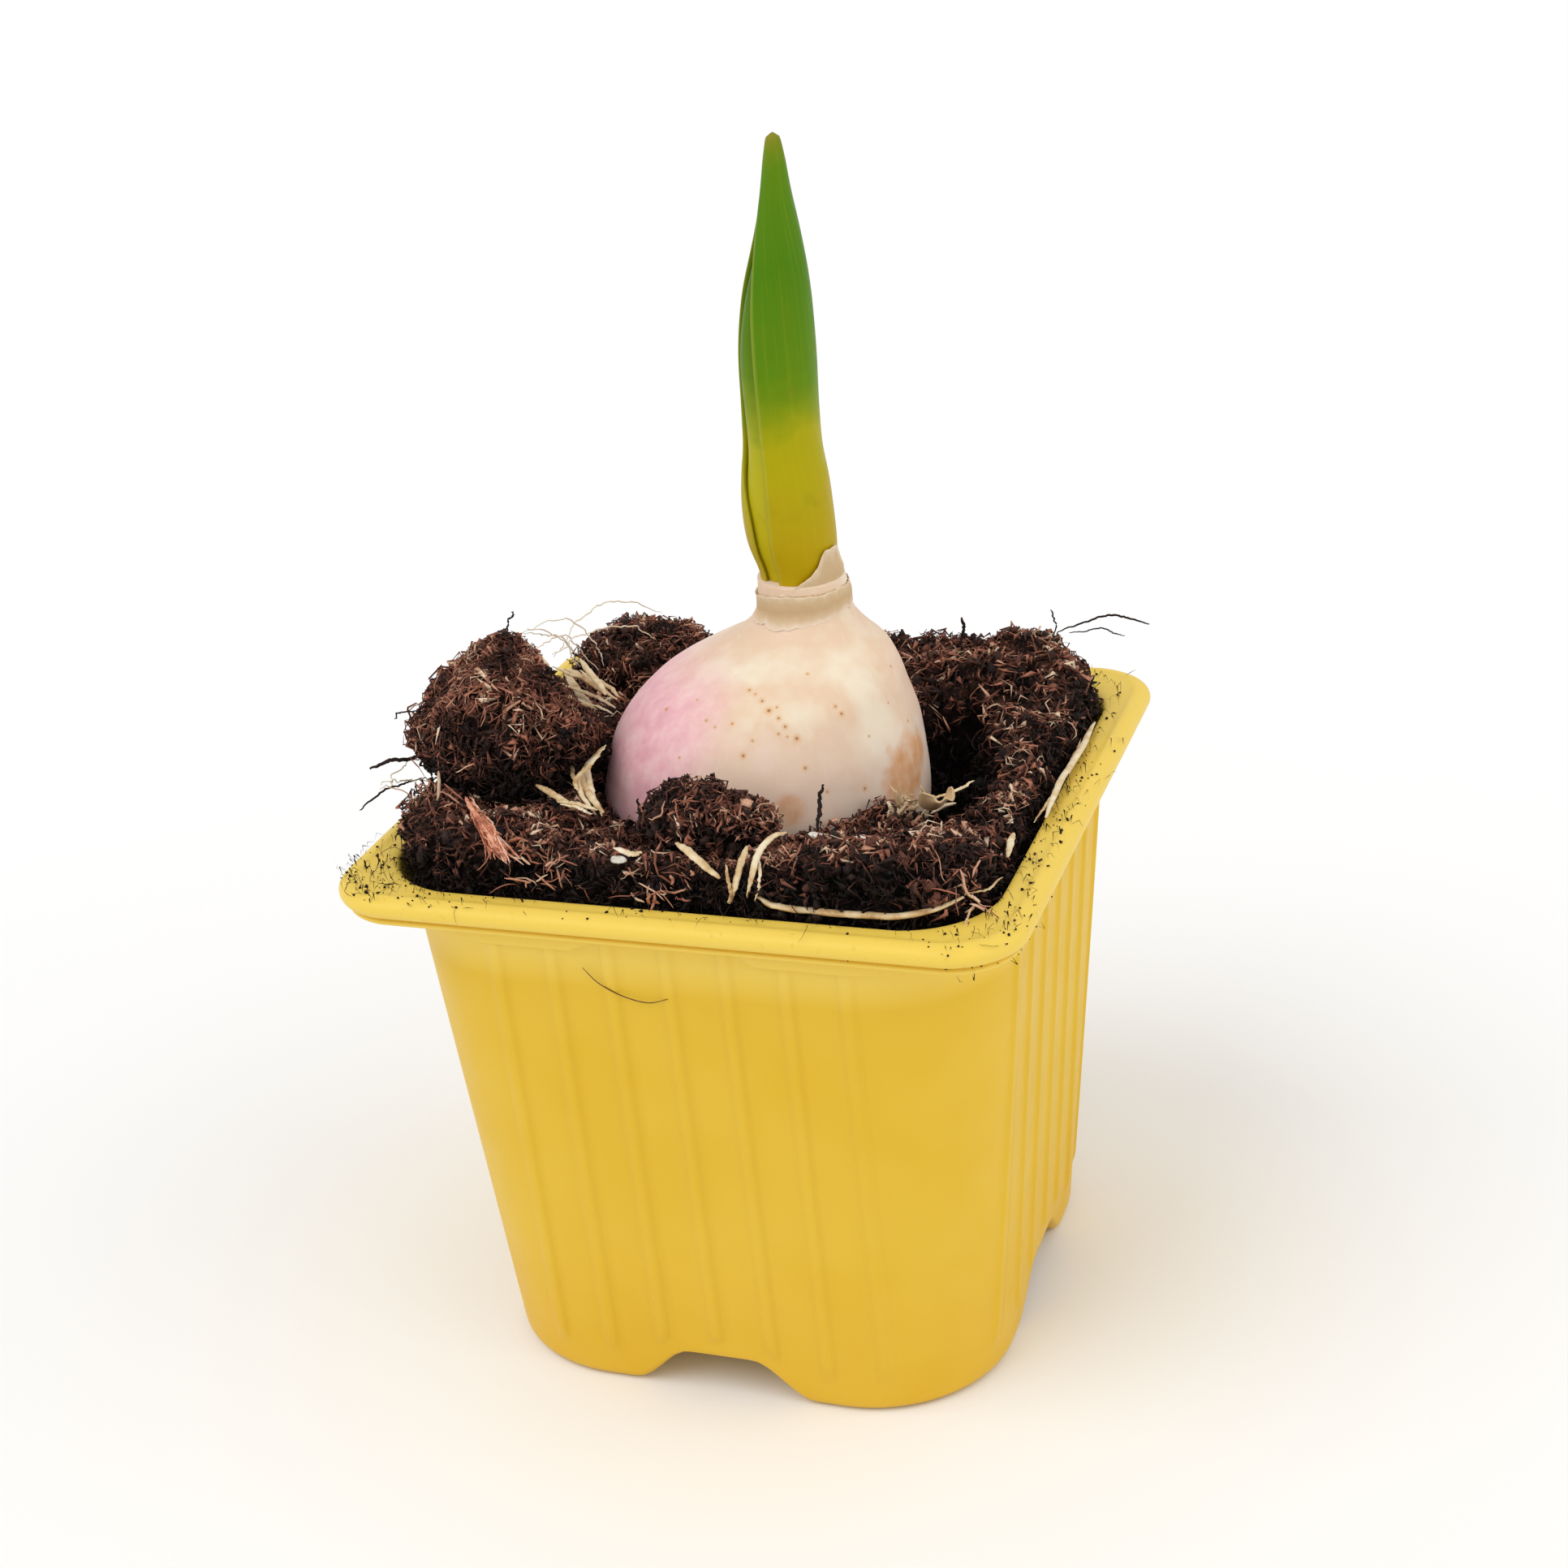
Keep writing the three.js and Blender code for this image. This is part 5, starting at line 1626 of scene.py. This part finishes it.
CAMERA_AZIMUTH = math.radians(20.54)
CAMERA_ELEVATION = math.radians(23.71)
CAMERA_ROLL = math.radians(-4.76)
CAMERA_DISTANCE = 355.56 * MM  # from the middle of the rim's top
LENS = 60.83
SHIFT = (0.01197, -0.00631)
SKY = 0.78
KEY = [(-0.45, -0.5, 0.85), 0.9, 45]  # where the light comes from, strength, spread in degrees
FILL = [(0.8, -0.1, 0.5), 0.6, 60]
FLOOR_HALF = 6


def camera():
    lens = bpy.data.cameras.new("camera")
    lens.sensor_width = 36
    lens.lens = LENS
    lens.shift_x, lens.shift_y = SHIFT
    lens.clip_start, lens.clip_end = 0.01, 20
    eye = bpy.data.objects.new("camera", lens)
    bpy.context.scene.collection.objects.link(eye)
    az, el = CAMERA_AZIMUTH, CAMERA_ELEVATION
    forward = Vector((-math.sin(az) * math.cos(el), math.cos(az) * math.cos(el), -math.sin(el)))
    right = Vector((math.cos(az), math.sin(az), 0))
    above = right.cross(forward)
    tilted_right = right * math.cos(CAMERA_ROLL) + above * math.sin(CAMERA_ROLL)
    tilted_up = above * math.cos(CAMERA_ROLL) - right * math.sin(CAMERA_ROLL)
    turn = Matrix((tilted_right, tilted_up, -forward)).transposed().to_4x4()
    eye.matrix_world = Matrix.Translation(Vector((0, 0, RIM * MM)) - forward * CAMERA_DISTANCE) @ turn
    bpy.context.scene.camera = eye


def soft_sun(name, place, strength, spread):
    """A distant soft light that shines from a place towards the origin; spread is in degrees."""
    light = bpy.data.lights.new(name, "SUN")
    light.energy = strength
    light.angle = math.radians(spread)
    lamp = bpy.data.objects.new(name, light)
    bpy.context.scene.collection.objects.link(lamp)
    lamp.matrix_world = (-Vector(place)).to_track_quat("-Z", "Y").to_matrix().to_4x4()


def studio():
    world = bpy.data.worlds.new("studio")
    bpy.context.scene.world = world
    world.use_nodes = True
    background = world.node_tree.nodes["Background"]
    background.inputs["Color"].default_value = (1, 1, 1, 1)
    background.inputs["Strength"].default_value = SKY
    soft_sun("key_light", *KEY)
    soft_sun("fill_light", *FILL)
    mesh = bpy.data.meshes.new("floor")
    corners = [(x * FLOOR_HALF, y * FLOOR_HALF, 0) for x, y in ((-1, -1), (1, -1), (1, 1), (-1, 1))]
    mesh.from_pydata(corners, [], [(0, 1, 2, 3)])
    finish = Finish("floor_finish", Roughness=0.9, Specular_IOR_Level=0.1)
    pale = finish.ramp(finish.noise(300, 2), [(0, (0.9, 0.9, 0.9)), (1, (0.93, 0.93, 0.93))])
    finish.set("Base Color", pale)
    mesh.materials.append(finish.material)
    floor = bpy.data.objects.new("floor", mesh)
    bpy.context.scene.collection.objects.link(floor)
    floor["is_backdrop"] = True
    bpy.context.scene.view_settings.view_transform = "Standard"


def write_sizes():
    boxes = {"cad": CAD_BOX, "visual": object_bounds()}
    sizes = {name: [list(corner) for corner in box] for name, box in boxes.items()}


rim = pot()
bulb()
collar()
outer_leaf()
inner_leaf()
plug = compost()
roots()
husk()
bark()
perlite(plug)
stray_bits()
rim_dirt(rim)
studio()
camera()
write_sizes()
